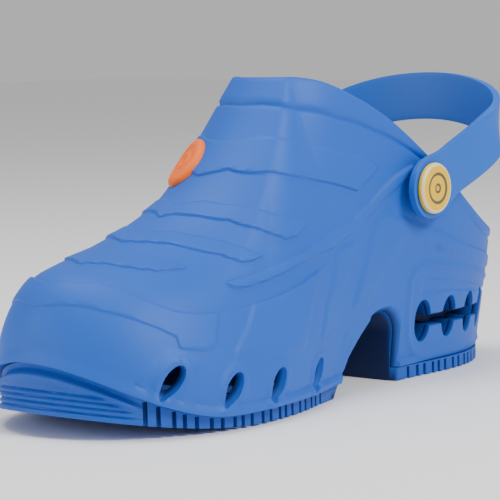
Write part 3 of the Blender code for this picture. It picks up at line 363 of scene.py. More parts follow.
CAP_PROUD = 0.7
CAP_EDGE = 0.9
CAP_REAR_TURN = 0.535
CAP_FADE = 16
# The fold below the collar, in millimetres below its rim
COLLAR_FOLD = ((1.00, 13.5), (0.725, 13.0), (0.567, 14.0), (0.479, 13.5), (0.425, 9.8), (0.383, 5.6),
               (0.340, 2.0), (0.310, -3.0), (0.000, -3.0))
FOLD_DEPTH = 0.9
FOLD_WIDTH = 0.8
FOLD_STEP = 0.35
# The lip and groove along the rim of the heel, in millimetres below it
RIM_GROOVE_TURN = 0.33
RIM_LIP_WIDTH = 2.6
RIM_GROOVE_PLACE = 3.6
RIM_PROUD = 0.5
# Corners of the side panels in millimetres: back from the heel, and up
PANELS = {
    # name: height in mm, corners
    "side front": (0.70, ((208, 48), (216, 39.7), (228, 30.5), (226, 28.5), (208, 27), (188, 25.6), (181, 28),
                          (171, 42.4), (161, 56.8), (174, 53.2), (193, 49.3))),
    "side middle": (0.70, ((144, 63.5), (149, 51), (158, 41), (166, 27), (149, 32), (136, 51.5), (130, 67))),
    "arch frame": (0.75, ((112, 76.4), (107, 77.5), (100, 75.5), (85, 71), (69, 65.5), (44, 57.5), (10, 49),
                          (-12, 44), (-12, 39.5), (11, 44), (69, 58.8), (89, 64.5), (94, 64), (121, 39),
                          (133, 37.8), (125, 50.6), (118, 67))),
    "first vent": (0.60, ((273, 22.6), (267, 28), (259, 33), (246, 28.7), (253, 21.7))),
    "crescent": (-0.60, ((80, 37.0), (79.5, 43), (75, 44.8), (53, 41.8), (10, 33.5), (-12, 30), (-12, 27.5),
                         (20, 33.5), (57, 37.5), (74, 38))),
}
HEEL_FRAME = ((89, 30), (88, 45), (84, 50), (76, 51.8), (54, 48.4), (10, 39), (-12, 36), (-12, 8.8),
              (31, 8.8), (55, 8.2), (75, 8.5), (84, 12), (88, 19))
HEEL_FRAME_PROUD = 0.75
HEEL_FRAME_WIDTH = 1.3
# Raised lines beside the front of the arch
ARCH_LINE_PROUD = 0.6
ARCH_LINES = (((137, 27), (145, 18), (154, 10)), ((133, 23.7), (140, 16.4), (147, 10)))
VENT_PLACES = ((259.5, 22.0), (233.0, 16.5), (206.0, 14.8), (172.0, 13.8))
VENT_LENGTH = 16.5
VENT_WIDTH = 7.0
VENT_SLANT = math.radians(50)
VENT_LIP = 0.9
VENT_LIP_OUT = 1.4
VENT_LIP_WIDTH = 0.9
VENT_LIP_NARROWING = 0.35
VENT_SIDES = 24
VENT_TAIL_NARROWING = 0.38
# Sections from outside the shell inwards
VENT_SCOOP = (
    # out in metres, share of the size, shift up the slant in mm
    (0.0070, 1.10, 0.0),
    (0.0006, 1.06, 0.0),
    (-0.0006, 0.94, 0.3),
    (-0.0022, 0.80, 1.2),
    (-0.0050, 0.62, 2.2),
    (-0.0095, 0.45, 2.6),
)
# The bead along the lower edge, in millimetres, which fades out at the heel block
BEAD_PROUD = 1.2
BEAD_WIDTH = 2.6
BEAD_GROOVE_DEPTH = 0.6
BEAD_GROOVE_PLACE = 3.7
BEAD_FADE_TURN = 0.36
# Rough length of the outline in millimetres for one turn
TURN_LENGTH = 300
# Rows of the skin gather round the strips' edges
GATHER = 5.0
GATHER_WIDTH = 1.0


def ease(distance, width):
    """0 to 1 as a distance goes from half a width outside an edge to half a width inside it."""
    share = np.clip(distance / width + 0.5, 0, 1)
    return share * share * (3 - 2 * share)


def rise_at(distance, width):
    """1 on a line and falling away from it over about its width."""
    return np.exp(-(distance / width) ** 2)


def curve_over(points, turn):
    ordered = np.array(sorted(points))
    return np.interp(turn, ordered[:, 0], ordered[:, 1])


def gathered_climbs():
    """Climbs of each column's rows, closer together near the edges of the strips."""
    fine = np.linspace(0, 1, 1201)[:, None]
    edges = [curve_over(points, turns) for _, *curves in STRIPS.values() for points in curves]
    edges += [curve_over(CAP_LINE, turns), 1 - curve_over(COLLAR_FOLD, turns) * MM / ray_reach]
    density = np.ones((1201, COLUMNS))
    for edge in edges:
        density += GATHER * rise_at((fine - edge) * ray_reach / MM, GATHER_WIDTH)
    filled = np.concatenate([np.zeros((1, COLUMNS)), np.cumsum((density[1:] + density[:-1]) / 2, axis=0)])
    rows = np.linspace(0, 1, ROWS)
    columns = [np.interp(rows * filled[-1, i], filled[:, i], fine[:, 0]) for i in range(COLUMNS)]
    return np.stack(columns, axis=1)


def from_line(back, up, points):
    """Distance in millimetres to an open line in the side view."""
    nearest = np.full(back.shape, 1e9)
    for (a_back, a_up), (b_back, b_up) in zip(points, points[1:]):
        run_back, run_up = b_back - a_back, b_up - a_up
        share = ((back - a_back) * run_back + (up - a_up) * run_up) / (run_back ** 2 + run_up ** 2)
        share = np.clip(share, 0, 1)
        nearest = np.minimum(nearest, np.hypot(back - a_back - share * run_back, up - a_up - share * run_up))
    return nearest


def inside_polygon(back, up, corners):
    """Signed distance in millimetres to a polygon in the side view, positive inside it."""
    inside = np.zeros(back.shape, bool)
    closed = [*corners, corners[0]]
    for (a_back, a_up), (b_back, b_up) in zip(closed, closed[1:]):
        if a_up != b_up:
            crosses = (a_up > up) != (b_up > up)
            inside ^= crosses & (back < a_back + (up - a_up) * (b_back - a_back) / (b_up - a_up))
    nearest = from_line(back, up, closed)
    return np.where(inside, nearest, -nearest)


def vent_frame(back, up, centre):
    """Places round a vent, along its slant and across it, in millimetres."""
    ahead, rise = back - centre[0], up - centre[1]
    along = -ahead * math.cos(VENT_SLANT) + rise * math.sin(VENT_SLANT)
    across = ahead * math.sin(VENT_SLANT) + rise * math.cos(VENT_SLANT)
    return along, across


def relief(turn, climb, reach, back, up):
    """Height of the moulded relief above the plain skin, in millimetres."""
    height = np.zeros(turn.shape)
    for (proud, edge, left), lower, upper in STRIPS.values():
        over_low = (climb - curve_over(lower, turn)) * reach
        under_top = (curve_over(upper, turn) - climb) * reach
        end = (turn - min(place for place, _ in lower)) * LENGTH / MM * 1.2
        inside = np.minimum(np.minimum(over_low, under_top), end)
        slope = np.clip(over_low / np.maximum(over_low + under_top, 0.5), 0, 1)
        height += proud * ease(inside - edge / 2, edge) * (1 + (left - 1) * slope)
    below_cap = (curve_over(CAP_LINE, turn) - climb) * reach
    height += CAP_PROUD * ease(below_cap, CAP_EDGE) * ease((turn - CAP_REAR_TURN) * TURN_LENGTH, CAP_FADE)
    rim = (1 - climb) * reach
    fold = curve_over(COLLAR_FOLD, turn) - rim
    height += FOLD_STEP * ease(fold - 1.2, 1.6) - FOLD_DEPTH * rise_at(fold, FOLD_WIDTH)
    heel = ease((RIM_GROOVE_TURN - turn) * TURN_LENGTH, 12)
    height += heel * RIM_PROUD * (ease(RIM_LIP_WIDTH - rim, 1.2) - rise_at(rim - RIM_GROOVE_PLACE, 0.8))
    for proud, corners in PANELS.values():
        height += proud * ease(inside_polygon(back, up, corners), 1.2)
    height += HEEL_FRAME_PROUD * rise_at(inside_polygon(back, up, HEEL_FRAME), HEEL_FRAME_WIDTH)
    for points in ARCH_LINES:
        height += ARCH_LINE_PROUD * rise_at(from_line(back, up, points), 1.0)
    for centre in VENT_PLACES:
        along, across = vent_frame(back, up, centre)
        tail = np.clip(-along / VENT_LENGTH * 2, 0, 1)
        half_width = (VENT_WIDTH / 2 + VENT_LIP_OUT) * (1 - VENT_LIP_NARROWING * tail)
        ring = np.hypot(along / (VENT_LENGTH / 2 + VENT_LIP_OUT), across / half_width)
        height += VENT_LIP * rise_at((ring - 1) * VENT_WIDTH / 2, VENT_LIP_WIDTH)
    above_edge = climb * reach
    bead = BEAD_PROUD * ease(BEAD_WIDTH - above_edge, 1.4)
    bead -= BEAD_GROOVE_DEPTH * rise_at(above_edge - BEAD_GROOVE_PLACE, 0.7)
    height += bead * ease((turn - BEAD_FADE_TURN) * TURN_LENGTH, 24)
    return height


climbs = gathered_climbs()
skin = grid_on(rays, climbs)
skin_normals = grid_normals(skin)
turn_grid = np.broadcast_to(turns, skin.shape[:2])
heights = relief(turn_grid, climbs, ray_reach / MM, skin[..., 1] / MM, skin[..., 2] / MM)
outer_skin = skin + skin_normals * heights[..., None] * MM


# Upper, part 3: the shell itself.
# The outer skin runs over a rounded rim into the inner skin and closes underneath, and one set of
# cutters opens the vents, the heel windows, the arch tunnel and the holes of the strap's buttons.
TUNNEL_REAR = 0.336
TUNNEL_FRONT = 0.520
TUNNEL_HEIGHT = 0.0315
TUNNEL_TOP_RADIUS = 0.0110
TUNNEL_TOP_FRONT = 0.405
TUNNEL_KNEE_HEIGHT = 0.0265
TUNNEL_SHIN_HEIGHT = 0.0135
TUNNEL_SHIN_SAG = 0.0010
TUNNEL_FOOT = -0.006
TUNNEL_ARC_STEPS = 12
TUNNEL_MOUTH = ((0.012, 0.0085), (0.004, 0.0060), (0.000, 0.0045), (-0.002, 0.0027), (-0.004, 0.0013),
                (-0.007, 0.0003), (-0.009, 0.0))
WINDOW_FIRST = 0.347
WINDOW_PITCH = 0.054
WINDOW_COUNT = 4
WINDOW_HALF_TURN = 0.0150
WINDOW_HEIGHT = 0.0185
WINDOW_CENTRE = 0.0250
WINDOW_DEPTH = 0.0135
WINDOW_SLOT = 0.0022
WINDOW_CLEAR = 0.006
# The rounded edge of a window in the shell: depth out of the skin, and growth, in metres
WINDOW_EDGE = ((WINDOW_CLEAR, 0.0012), (0.0003, 0.0010), (-0.0008, 0.0003), (-0.0020, 0.0),
               (-WINDOW_DEPTH, 0.0))
WINDOW_PLAIN = ((WINDOW_CLEAR, 0.0), (-WINDOW_DEPTH, 0.0))
PIVOT_BACK = 0.291 * LENGTH
PIVOT_HEIGHT = 0.0873
SHANK_HOLE = 0.0039
RIM_CREST = 0.0013
# Where painted shade goes on the plastic, as in a hollow: below a height, and a little beyond the arch's ends
PAINTED_SHADE_TOP = 0.036
PAINTED_SHADE_MARGIN = 0.01
FLOOR_BAND = 0.003


def object_from(name, places, faces, finishes=(), chosen=()):
    """Object from places and faces, with welded corners; chosen gives each face's place in the finishes."""
    mesh = bpy.data.meshes.new(name)
    mesh.from_pydata([tuple(place) for place in places], [], faces)
    for finish in finishes:
        mesh.materials.append(finish)
    for face, index in zip(mesh.polygons, chosen):
        face.material_index = index
    shape = bmesh.new()
    shape.from_mesh(mesh)
    bmesh.ops.remove_doubles(shape, verts=shape.verts, dist=1e-6)
    bmesh.ops.recalc_face_normals(shape, faces=shape.faces)
    shape.to_mesh(mesh)
    shape.free()
    piece = bpy.data.objects.new(name, mesh)
    bpy.context.scene.collection.objects.link(piece)
    return piece


def ring_faces(levels, count, wrapped=False):
    faces = []
    for level in range(levels if wrapped else levels - 1):
        here, above = level * count, (level + 1) % levels * count
        for i in range(count):
            following = (i + 1) % count
            faces.append((here + i, here + following, above + following, above + i))
    return faces


def loft(name, rings, capped=True):
    """Closed solid through a stack of equal rings of world places."""
    count = len(rings[0])
    faces = ring_faces(len(rings), count)
    if capped:
        last = (len(rings) - 1) * count
        faces += [tuple(range(count)), tuple(last + count - 1 - k for k in range(count))]
    return object_from(name, np.concatenate(rings), faces)


def carve(piece, cutters):
    """Cut the cutters out of the piece, keep the result as its mesh, and remove the cutters."""
    for cutter in cutters:
        modifier = piece.modifiers.new(cutter.name, "BOOLEAN")
        modifier.operation = "DIFFERENCE"
        modifier.solver = "MANIFOLD"
        modifier.object = cutter
    bpy.context.view_layer.update()
    evaluated = piece.evaluated_get(bpy.context.evaluated_depsgraph_get())
    carved = bpy.data.meshes.new_from_object(evaluated)
    piece.modifiers.clear()
    piece.data = carved


def smooth(piece, angle=38):
    piece.data.polygons.foreach_set("use_smooth", np.ones(len(piece.data.polygons), bool))
    piece.data.set_sharp_from_angle(angle=math.radians(angle))


def side_places(turn_values, side, height):
    """Places on the shell's side at one height, with the plan normals there."""
    side_values = np.full(len(turn_values), side, float)
    found = []
    for places, _ in shell_rays(turn_values, side_values):
        found.append([np.interp(height, places[:, 2], places[:, k]) for k in (0, 1)])
    return np.array(found), np.stack(plan_normals(turn_values, side_values), axis=1)


def window_cutter(side, edge):
    """Row of ovals joined by a slot, cut along the plan normals."""
    place, half = [], []
    for index in range(WINDOW_COUNT):
        centre = WINDOW_FIRST - index * WINDOW_PITCH
        for angle in np.linspace(0, math.pi, 17):
            place.append(centre + WINDOW_HALF_TURN * math.cos(angle))
            half.append(max(WINDOW_HEIGHT / 2 * math.sin(angle), WINDOW_SLOT))
    half[0] = half[-1] = WINDOW_SLOT / 2
    base, normals = side_places(np.array(place), side, WINDOW_CENTRE)
    rings = []
    for i in range(len(place)):
        low = [(*(base[i] + normals[i] * depth), WINDOW_CENTRE - half[i] - grow) for depth, grow in edge]
        high = [(*(base[i] + normals[i] * depth), WINDOW_CENTRE + half[i] + grow) for depth, grow in edge]
        rings.append(to_world(np.array(low + high[::-1])))
    return loft("windows", rings)


def tunnel_outline(grow):
    rear, front = TUNNEL_REAR * LENGTH - grow, TUNNEL_FRONT * LENGTH + grow
    top, radius = TUNNEL_HEIGHT + grow, TUNNEL_TOP_RADIUS
    knee, knee_up = TUNNEL_TOP_FRONT * LENGTH + grow / 2, TUNNEL_KNEE_HEIGHT + grow
    points = [(rear, TUNNEL_FOOT)]
    for swing in np.linspace(0, math.pi / 2, TUNNEL_ARC_STEPS + 1):
        points.append((rear + radius * (1 - math.cos(swing)), top - radius * (1 - math.sin(swing))))
    for swing in np.linspace(0, math.pi / 2, TUNNEL_ARC_STEPS + 1)[1:]:
        points.append((knee - (knee - rear - radius) * (1 - math.sin(swing)),
                       top - (top - knee_up) * (1 - math.cos(swing))))
    points.append(((knee + front) / 2 + TUNNEL_SHIN_SAG, TUNNEL_SHIN_HEIGHT + grow / 2))
    points.append((front, TUNNEL_FOOT))
    return points


def tunnel_cutter():
    waist = turn_of((TUNNEL_REAR + TUNNEL_FRONT) / 2)
    lateral = float(middle_line(waist) + lateral_half(waist))
    medial = float(middle_line(waist) - medial_half(waist))
    sections = [(medial - out, grow) for out, grow in TUNNEL_MOUTH]
    sections += [(lateral + out, grow) for out, grow in TUNNEL_MOUTH[::-1]]
    rings = [to_world(np.array([(across, back, up) for back, up in tunnel_outline(grow)]))
             for across, grow in sections]
    return loft("tunnel", rings)


def vent_cutters(side):
    """Slanted teardrops whose lower ends scoop in and whose upper ends go deep."""
    cutters = []
    for back, up in VENT_PLACES:
        turn = np.array([0.5])
        for _ in range(12):
            base, normals = side_places(turn, side, up * MM)
            turn = turn + (back * MM - base[0, 1]) / (LENGTH * 1.4)
        base, normals = side_places(turn, side, up * MM)
        run = np.array([-normals[0, 1], normals[0, 0]])
        run *= -1 if run[1] > 0 else 1
        rings = []
        for out, share, shift in VENT_SCOOP:
            ring = []
            for angle in np.linspace(0, 2 * math.pi, VENT_SIDES + 1)[:-1]:
                narrow = 1 - VENT_TAIL_NARROWING * max(-math.sin(angle), 0)
                along = (VENT_LENGTH / 2 * share * math.sin(angle) + shift) * MM
                across = VENT_WIDTH / 2 * share * narrow * math.cos(angle) * MM
                toward_heel = along * math.cos(VENT_SLANT) - across * math.sin(VENT_SLANT)
                rise = along * math.sin(VENT_SLANT) + across * math.cos(VENT_SLANT)
                place = base[0] + normals[0] * out + run * toward_heel
                ring.append((place[0], place[1], up * MM + rise))
            rings.append(to_world(np.array(ring)))
        cutters.append(loft("vent", rings))
    return cutters


def shank_cutters():
    cutters = []
    for side in (1, -1):
        rings = []
        for across in (side * 0.020, side * 0.065):
            angles = np.linspace(0, 2 * math.pi, 33)[:-1]
            rings.append(to_world(np.stack([np.full(32, across), PIVOT_BACK + SHANK_HOLE * np.cos(angles),
                                            PIVOT_HEIGHT + SHANK_HOLE * np.sin(angles)], axis=1)))
        cutters.append(loft("shank", rings))
    return cutters


def joined(name, pieces):
    """One mesh from several that don't touch."""
    shape = bmesh.new()
    for piece in pieces:
        shape.from_mesh(piece.data)
    mesh = bpy.data.meshes.new(name)
    shape.to_mesh(mesh)
    shape.free()
    for piece in pieces:
        bpy.data.objects.remove(piece, do_unlink=True)
    result = bpy.data.objects.new(name, mesh)
    bpy.context.scene.collection.objects.link(result)
    return result


inner_climbs = np.linspace(1, 0, INNER_ROWS)
inner_base = grid_on(rays, inner_climbs)
inner_normals = grid_normals(inner_base[::-1])[::-1]
inner_skin = inner_base - inner_normals * WALL
inner_skin[-1, :, 2] = inner_base[-1, :, 2]
outer_skin[0, :, 2] = skin[0, :, 2]
rim_middle = (outer_skin[-1] + inner_skin[0]) / 2
rim_half = (outer_skin[-1] - inner_skin[0]) / 2
rim_rise = outer_skin[-1] - outer_skin[-3]
rim_rise /= np.linalg.norm(rim_rise, axis=1, keepdims=True)
rim_rings = []
for angle in np.linspace(0, math.pi, RIM_ROWS + 2)[1:-1]:
    rim_rings.append(rim_middle + rim_half * math.cos(angle) + rim_rise * RIM_CREST * math.sin(angle))
shell_rings = np.concatenate([outer_skin, np.array(rim_rings), inner_skin])
upper = object_from("upper_shell", to_world(shell_rings).reshape(-1, 3),
                    ring_faces(len(shell_rings), COLUMNS, wrapped=True))
openings = [window_cutter(side, WINDOW_EDGE) for side in (1, -1)] + [tunnel_cutter()]
for side in (1, -1):
    openings += vent_cutters(side)
openings += shank_cutters()
cutter = joined("openings", openings)
carve(upper, [cutter])
bpy.data.objects.remove(cutter, do_unlink=True)
smooth(upper)
skin_tree = BVHTree.FromPolygons([tuple(p) for p in to_world(skin).reshape(-1, 3)], ring_faces(ROWS, COLUMNS))


def paint_hollow_shade(piece, start, full):
    """Paint shade into the vents, windows and arch: a deeper colour by the depth of each face's corners
    inside the plain skin.
    """
    depths = []
    for vertex in piece.data.vertices:
        place, normal, _, _ = skin_tree.find_nearest(vertex.co)
        along = (HEEL_CENTRE - vertex.co.y) / LENGTH
        in_arch = TUNNEL_REAR - PAINTED_SHADE_MARGIN < along < TUNNEL_FRONT + PAINTED_SHADE_MARGIN
        painted_shade = vertex.co.z < PAINTED_SHADE_TOP and (in_arch or vertex.co.z > float(bead_height(along)))
        inside = painted_shade and (place - vertex.co).dot(normal) < 0
        depths.append((place - vertex.co).length if inside else 0.0)
    shares = np.clip((np.array(depths) - start) / (full - start), 0, 1)
    corners = []
    for face in piece.data.polygons:
        on_floor = face.normal.z < -0.9 and face.center.z < FLOOR_BAND
        corners += [0.0 if on_floor else shares[i] for i in face.vertices]
    shade = piece.data.attributes.new("painted_shade", "FLOAT", "CORNER")
    shade.data.foreach_set("value", np.array(corners, dtype=np.float32))
    piece.data.update()


# Upper, part 4: its finish.
# Moulded plastic with a fine matt grain, made as bump from noise in object coordinates. The other pieces
# take their finishes from the same function.
# Painted shade: the deep navy that stands for the shade inside the vents, windows and arch tunnel
PAINTED_SHADE_BLUE = (0.005, 0.016, 0.090)


# inner, when given, is painted shade: the colour that the vents, windows and arch are drawn in
def moulded(name, colour, roughness, grain=1400.0, depth=0.00006, coat=0.0, mottle=0.05, inner=None):
    finish = bpy.data.materials.new(name)
    finish.use_nodes = True
    nodes, links = finish.node_tree.nodes, finish.node_tree.links
    shader = nodes["Principled BSDF"]
    shader.inputs["Base Color"].default_value = (*colour, 1)
    shader.inputs["Roughness"].default_value = roughness
    shader.inputs["Metallic"].default_value = 0.0
    shader.inputs["Specular IOR Level"].default_value = 0.32
    shader.inputs["Coat Weight"].default_value = coat
    shader.inputs["Coat Roughness"].default_value = 0.35
    place = nodes.new("ShaderNodeTexCoord")
    noise = nodes.new("ShaderNodeTexNoise")
    noise.inputs["Scale"].default_value = grain
    noise.inputs["Detail"].default_value = 3.0
    bump = nodes.new("ShaderNodeBump")
    bump.inputs["Strength"].default_value = 0.35
    bump.inputs["Distance"].default_value = depth
    links.new(place.outputs["Object"], noise.inputs["Vector"])
    links.new(noise.outputs["Fac"], bump.inputs["Height"])
    links.new(bump.outputs["Normal"], shader.inputs["Normal"])
    cloud = nodes.new("ShaderNodeTexNoise")
    cloud.inputs["Scale"].default_value = 26.0
    cloud.inputs["Detail"].default_value = 2.0
    tint = nodes.new("ShaderNodeMix")
    tint.data_type = "RGBA"
    tint.inputs["A"].default_value = (*[c * (1 - mottle) for c in colour], 1)
    tint.inputs["B"].default_value = (*[min(c * (1 + mottle), 1) for c in colour], 1)
    links.new(place.outputs["Object"], cloud.inputs["Vector"])
    links.new(cloud.outputs["Fac"], tint.inputs["Factor"])
    links.new(tint.outputs["Result"], shader.inputs["Base Color"])
    if inner:
        # Painted shade: hollows are drawn in a deeper colour, from the attribute that marks where shade falls
        # in them
        painted_shade = nodes.new("ShaderNodeAttribute")
        painted_shade.attribute_name = "painted_shade"
        deep = nodes.new("ShaderNodeMix")
        deep.data_type = "RGBA"
        deep.inputs["B"].default_value = (*inner, 1)
        links.new(painted_shade.outputs["Fac"], deep.inputs["Factor"])
        links.new(tint.outputs["Result"], deep.inputs["A"])
        links.new(deep.outputs["Result"], shader.inputs["Base Color"])
    return finish


def dress(piece, finish, slot, *nodes):
    """Give a piece its finish, unless its faces have theirs already, and join it to the solids' frame."""
    if finish:
        piece.data.materials.clear()
        piece.data.materials.append(finish)
    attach(piece, "root")
    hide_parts(*nodes)


BODY = moulded("moulded body", (0.010, 0.104, 0.520), 0.52, inner=PAINTED_SHADE_BLUE)
# Painted shade goes into the shell's vents, windows and arch
paint_hollow_shade(upper, 0.0006, 0.0026)
dress(upper, BODY, "body_blue", "upper")


# Sole: ribbed tread, toe bumper, plug and footbed.
# One moulding of the same plastic, which fills the shell from below. Its tread wall is finely rowed, for
# the bumper's lip and level ribs, and the grooves, channels and shared openings are cut out of it.
TREAD = moulded("moulded sole", (0.008, 0.086, 0.450), 0.54, inner=PAINTED_SHADE_BLUE)
SOLE_COLUMNS = 400
TREAD_ROWS = 40
TREAD_INSET = 0.0012
HEEL_INSET = 0.0012
GROOVE_WIDTH = 0.0019
GROOVE_DEPTH = 0.0034
GROOVE_CLEAR = 0.004
LEAST_RIB = 0.002
GROOVE_TOP_GAP = 0.0010
GROOVED_TURNS = ((0.535, 0.845), (0.06, 0.375))
SLOT_OVERRUN = 0.003
RIB_WIDTHS = (0.0051, 0.0035, 0.0027, 0.0047, 0.0035)
TOE_RIB_HEIGHT = 0.0023
TOE_RIB_COUNT = 4
TOE_RIB_END = 0.885
TOE_RIB_STEP = 0.016
TOE_RIB_DEPTH = 1.1
TOE_FLARE = 0.11
# The lip under the bead and the hollow above it
TOE_LIPS = (
    # height, width and place below the bead, in mm
    (1.4, 1.3, 4.6),
    (-1.2, 1.1, 2.0),
)
TOE_BUMPER_TURN = 0.845
TOE_FLARE_TURN = 0.80
HEEL_INSET_TURN = 0.40
CHANNEL_ALONG = (0.10, 0.185, 0.265, 0.578, 0.67, 0.76, 0.85)
CHANNEL_WIDTH = 0.0030
CHANNEL_DEPTH = 0.0020
CHANNEL_MARGIN = 0.0065
BED_CUP = 0.0022

sole_turns, sole_sides = once_round(SOLE_COLUMNS)
sole_along = along_of(sole_turns)
sole_across, sole_back = outline_points(sole_turns, sole_sides)
sole_normals = np.stack(plan_normals(sole_turns, sole_sides), axis=1)
sole_rays = shell_rays(sole_turns, sole_sides)
plug_base = grid_on(sole_rays, np.linspace(0, 1, 60))
plug_skin = plug_base - grid_normals(plug_base) * (WALL + FIT_GAP)


def spine_ring(height_of):
    along = spine_along(sole_along)
    return np.stack([middle_line(turn_of(along)), along * LENGTH, height_of(along)], axis=1)


def ring_between(edge, share, height_of):
    spine = spine_ring(height_of)
    ring = spine + (edge - spine) * share
    ring[:, 2] = height_of(ring[:, 1] / LENGTH)
    return ring


def plug_ring(level):
    ring = np.zeros((SOLE_COLUMNS, 3))
    for i in range(SOLE_COLUMNS):
        for axis in range(3):
            ring[i, axis] = np.interp(level[i], plug_skin[:, i, 2], plug_skin[:, i, axis])
    ring[:, 2] = level
    return ring


def tread_ring(share):
    """Ring on the tread's wall, with the toe bumper's level ribs and the lip under the bead."""
    low, high = floor_height(sole_along), bead_height(sole_along) - FIT_GAP
    up = low + (high - low) * share
    toe = ease((sole_turns - TOE_BUMPER_TURN) * TURN_LENGTH, 12)
    over_floor, under_bead = (up - low) / MM, (high - up) / MM
    ribs = np.zeros(SOLE_COLUMNS)
    for level in range(1, TOE_RIB_COUNT + 1):
        # The lower a rib is, the further back it runs
        start = TOE_RIB_END - TOE_RIB_STEP * (TOE_RIB_COUNT - level)
        reach = ease((sole_turns - start) * TURN_LENGTH, 5)
        ribs -= TOE_RIB_DEPTH * rise_at(over_floor - level * TOE_RIB_HEIGHT / MM, 0.5) * reach
    lip = sum(proud * rise_at(under_bead - place, width) for proud, width, place in TOE_LIPS)
    spread = under_bead * TOE_FLARE * ease((sole_turns - TOE_FLARE_TURN) * TURN_LENGTH, 30)
    out = (toe * (ribs + lip * ease((high - low) / MM - 10, 6)) + spread) * MM - TREAD_INSET
    out -= HEEL_INSET * ease((HEEL_INSET_TURN - sole_turns) * TURN_LENGTH, 20)
    across, back = sole_across + sole_normals[:, 0] * out, sole_back + sole_normals[:, 1] * out
    return np.stack([across, back, up], axis=1)


tread = [tread_ring(share) for share in np.linspace(0, 1, TREAD_ROWS)]
rings = [spine_ring(floor_height)]
rings += [ring_between(tread[0], share, floor_height) for share in (0.15, 0.30, 0.45, 0.60, 0.75, 0.88, 0.97)]
rings += tread
ledge = bead_height(sole_along) - FIT_GAP
bed_edge = bed_height(sole_along) + BED_CUP
rings += [plug_ring(ledge + (bed_edge - ledge) * share) for share in np.linspace(0, 1, 9)]
bed_rim = len(rings) - 1
for share in (0.92, 0.80, 0.62, 0.42, 0.20):
    ring = ring_between(rings[bed_rim], share, bed_height)
    ring[:, 2] += BED_CUP * share ** 3
    rings.append(ring)
rings.append(spine_ring(bed_height))
sole = loft("sole_moulding", [to_world(ring) for ring in rings], capped=False)


def slot_tree():
    """Node tree that stands a box at each point, turned by its facing and sized by its reach and height."""
    tree = bpy.data.node_groups.new("upright slots", "GeometryNodeTree")
    tree.interface.new_socket("Geometry", in_out="INPUT", socket_type="NodeSocketGeometry")
    tree.interface.new_socket("Slot Width", in_out="INPUT", socket_type="NodeSocketFloat")
    tree.interface.new_socket("Geometry", in_out="OUTPUT", socket_type="NodeSocketGeometry")
    nodes, links = tree.nodes, tree.links
    entry = nodes.new("NodeGroupInput")
    box = nodes.new("GeometryNodeMeshCube")
    size = nodes.new("ShaderNodeCombineXYZ")
    turned = nodes.new("ShaderNodeCombineXYZ")
    rotation = nodes.new("FunctionNodeEulerToRotation")
    stand = nodes.new("GeometryNodeInstanceOnPoints")
    realize = nodes.new("GeometryNodeRealizeInstances")
    finish = nodes.new("GeometryNodeSetMaterial")
    leave = nodes.new("NodeGroupOutput")
    for attribute, socket in (("reach", size.inputs["X"]), ("height", size.inputs["Z"]),
                              ("facing", turned.inputs["Z"])):
        reader = nodes.new("GeometryNodeInputNamedAttribute")
        reader.data_type = "FLOAT"
        reader.inputs["Name"].default_value = attribute
        links.new(reader.outputs["Attribute"], socket)
    finish.inputs["Material"].default_value = TREAD
    links.new(entry.outputs["Slot Width"], size.inputs["Y"])
    links.new(entry.outputs["Geometry"], stand.inputs["Points"])
    links.new(box.outputs["Mesh"], stand.inputs["Instance"])
    links.new(size.outputs["Vector"], stand.inputs["Scale"])
    links.new(turned.outputs["Vector"], rotation.inputs["Euler"])
    links.new(rotation.outputs["Rotation"], stand.inputs["Rotation"])
    links.new(stand.outputs["Instances"], realize.inputs["Geometry"])
    links.new(realize.outputs["Geometry"], finish.inputs["Geometry"])
    links.new(finish.outputs["Geometry"], leave.inputs["Geometry"])
    return tree


def slots(name, tree, places, width):
    """Boxes of one width, from rows of a world place, facing, reach and height."""
    mesh = bpy.data.meshes.new(name)
    mesh.from_pydata([place[:3] for place in places], [], [])
    for column, attribute in enumerate(("facing", "reach", "height"), start=3):
        values = mesh.attributes.new(attribute, "FLOAT", "POINT")
        values.data.foreach_set("value", [place[column] for place in places])
    boxes = bpy.data.objects.new(name, mesh)
    bpy.context.scene.collection.objects.link(boxes)
    modifier = boxes.modifiers.new("Slots", "NODES")
    modifier.node_group = tree
    modifier[tree.interface.items_tree["Slot Width"].identifier] = width
    carve(boxes, [])
    return boxes


def groove_places():
    """Upright grooves between ribs of uneven width, along both sides of the forefoot and the heel."""
    places = []
    reach = GROOVE_CLEAR + TREAD_INSET + GROOVE_DEPTH
    for side in (1, -1):
        for first, last in GROOVED_TURNS:
            fine = np.linspace(first, last, 800)
            across, back = outline_points(fine, np.full(800, side, float))
            travel = np.concatenate([[0], np.cumsum(np.hypot(np.diff(across), np.diff(back)))])
            place, index = RIB_WIDTHS[0], 0
            while place < travel[-1] - LEAST_RIB:
                turn = np.array([np.interp(place, travel, fine)])
                edge = np.array(outline_points(turn, np.array([side])))[:, 0]
                normal = np.array(plan_normals(turn, np.array([side])))[:, 0]
                low = float(floor_height(along_of(turn))[0]) - SLOT_OVERRUN
                top = float(bead_height(along_of(turn))[0]) - GROOVE_TOP_GAP
                middle = edge + normal * (GROOVE_CLEAR - reach / 2)
                facing = math.atan2(-normal[1], normal[0])
                centre = to_world(np.array([middle[0], middle[1], (low + top) / 2]))
                places.append((*centre, facing, reach, top - low))
                index += 1
                place += RIB_WIDTHS[index % len(RIB_WIDTHS)] + GROOVE_WIDTH
    return places


def channel_places():
    places = []
    for along in CHANNEL_ALONG:
        turn = turn_of(along)
        lateral = float(middle_line(turn) + lateral_half(turn)) - CHANNEL_MARGIN
        medial = float(middle_line(turn) - medial_half(turn)) + CHANNEL_MARGIN
        top = float(floor_height(along)) + CHANNEL_DEPTH
        centre = to_world(np.array([(medial + lateral) / 2, along * LENGTH, (top - SLOT_OVERRUN) / 2]))
        places.append((*centre, 0.0, lateral - medial, top + SLOT_OVERRUN))
    return places


